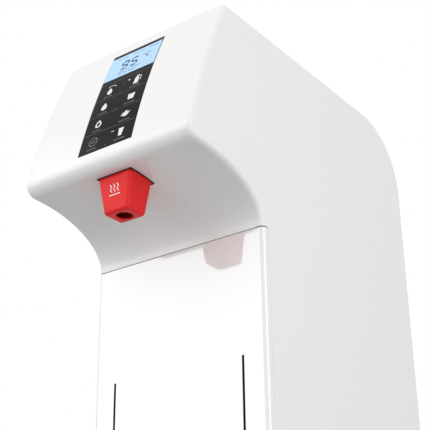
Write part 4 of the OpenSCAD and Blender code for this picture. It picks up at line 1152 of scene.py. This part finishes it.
class DISPENSER_OT_stage(bpy.types.Operator):
    """Sets the pale floor, the soft lights, the even surroundings and the camera"""
    bl_idname = "dispenser.stage"
    bl_label = "Stage"

    def execute(self, context):
        scene = context.scene
        scene.view_settings.view_transform = "Standard"
        scene.view_settings.look = "None"
        self.floor()
        self.surroundings(scene)
        for light in LIGHTS:
            self.light(*light)
        self.camera(scene)
        return {"FINISHED"}

    @staticmethod
    def light(name, azimuth, elevation, distance, power, size):
        """A soft area light, turned towards the middle of the object."""
        light = bpy.data.lights.new(name, "AREA")
        light.shape = "RECTANGLE"
        light.size, light.size_y = size
        light.energy = power
        lamp = bpy.data.objects.new(name, light)
        place = LIT_MIDDLE + distance * direction(math.radians(azimuth), math.radians(elevation))
        lamp.location = place
        lamp.rotation_euler = (LIT_MIDDLE - place).to_track_quat("-Z", "Y").to_euler()
        bpy.context.scene.collection.objects.link(lamp)

    @staticmethod
    def floor():
        half = FLOOR_HALF
        corners = [(-half, -half, 0), (half, -half, 0), (half, half, 0), (-half, half, 0)]
        mesh = bpy.data.meshes.new("floor")
        mesh.from_pydata(corners, [], [(0, 1, 2, 3)])
        mesh.materials.append(MATERIALS["stage_pale"])
        piece = bpy.data.objects.new("floor", mesh)
        bpy.context.scene.collection.objects.link(piece)

    @staticmethod
    def surroundings(scene):
        """Even white surroundings, brighter where the camera looks straight at them."""
        world = bpy.data.worlds.new("studio")
        world.use_nodes = True
        tree = world.node_tree
        background = tree.nodes["Background"]
        ray = tree.nodes.new("ShaderNodeLightPath")
        strength = tree.nodes.new("ShaderNodeMapRange")
        strength.inputs["To Min"].default_value = WORLD_STRENGTH
        strength.inputs["To Max"].default_value = BACKDROP_STRENGTH
        tree.links.new(ray.outputs["Is Camera Ray"], strength.inputs["Value"])
        tree.links.new(strength.outputs["Result"], background.inputs["Strength"])
        background.inputs["Color"].default_value = (1, 1, 1, 1)
        scene.world = world

    @staticmethod
    def camera(scene):
        """A low camera in front and to the right, looking up at the dispenser."""
        azimuth, elevation, roll = (math.radians(angle) for angle in CAMERA_ANGLES)
        back = direction(azimuth, elevation)
        right = (-back).cross(Vector((0, 0, 1))).normalized()
        up = right.cross(-back)
        x = right * math.cos(roll) + up * math.sin(roll)
        y = up * math.cos(roll) - right * math.sin(roll)
        turn = Matrix((x, y, back)).transposed().to_4x4()
        lens = bpy.data.cameras.new("camera")
        lens.sensor_width = 36
        lens.lens = CAMERA_LENS
        eye = bpy.data.objects.new("camera", lens)
        eye.matrix_world = Matrix.Translation(CAMERA_PLACE) @ turn
        scene.collection.objects.link(eye)
        scene.camera = eye


class DISPENSER_PT_panel(bpy.types.Panel):
    """Sizes, colours and building steps of the dispenser"""
    bl_label = "Dispenser"
    bl_idname = "DISPENSER_PT_panel"
    bl_space_type = "VIEW_3D"
    bl_region_type = "UI"
    bl_category = "Dispenser"

    def draw(self, context):
        layout = self.layout
        for group in (context.scene.dispenser_shape, context.scene.dispenser_display,
                      context.scene.dispenser_colours):
            box = layout.box()
            for name in group.bl_rna.properties.keys():
                if name not in ("rna_type", "name"):
                    box.prop(group, name)
        column = layout.column(align=True)
        for step in STEPS:
            column.operator(step.bl_idname)


STEPS = (DISPENSER_OT_materials, DISPENSER_OT_side_covers, DISPENSER_OT_front_fascia, DISPENSER_OT_top_cover,
         DISPENSER_OT_splash_panel, DISPENSER_OT_rear_and_base, DISPENSER_OT_touch_panel,
         DISPENSER_OT_display_marks, DISPENSER_OT_outlet_cap, DISPENSER_OT_tray_front,
         DISPENSER_OT_cup_shelf, DISPENSER_OT_valve_spring, DISPENSER_OT_stage)
CLASSES = (DispenserShape, DispenserDisplay, DispenserColours) + STEPS + (DISPENSER_PT_panel,)


def register():
    for cls in CLASSES:
        bpy.utils.register_class(cls)
    bpy.types.Scene.dispenser_shape = PointerProperty(type=DispenserShape)
    bpy.types.Scene.dispenser_display = PointerProperty(type=DispenserDisplay)
    bpy.types.Scene.dispenser_colours = PointerProperty(type=DispenserColours)


def unregister():
    del bpy.types.Scene.dispenser_colours
    del bpy.types.Scene.dispenser_display
    del bpy.types.Scene.dispenser_shape
    for cls in reversed(CLASSES):
        bpy.utils.unregister_class(cls)


def main():
    register()
    for step in STEPS:
        group, name = step.bl_idname.split(".")
        getattr(getattr(bpy.ops, group), name)()


if __name__ == "__main__":
    main()
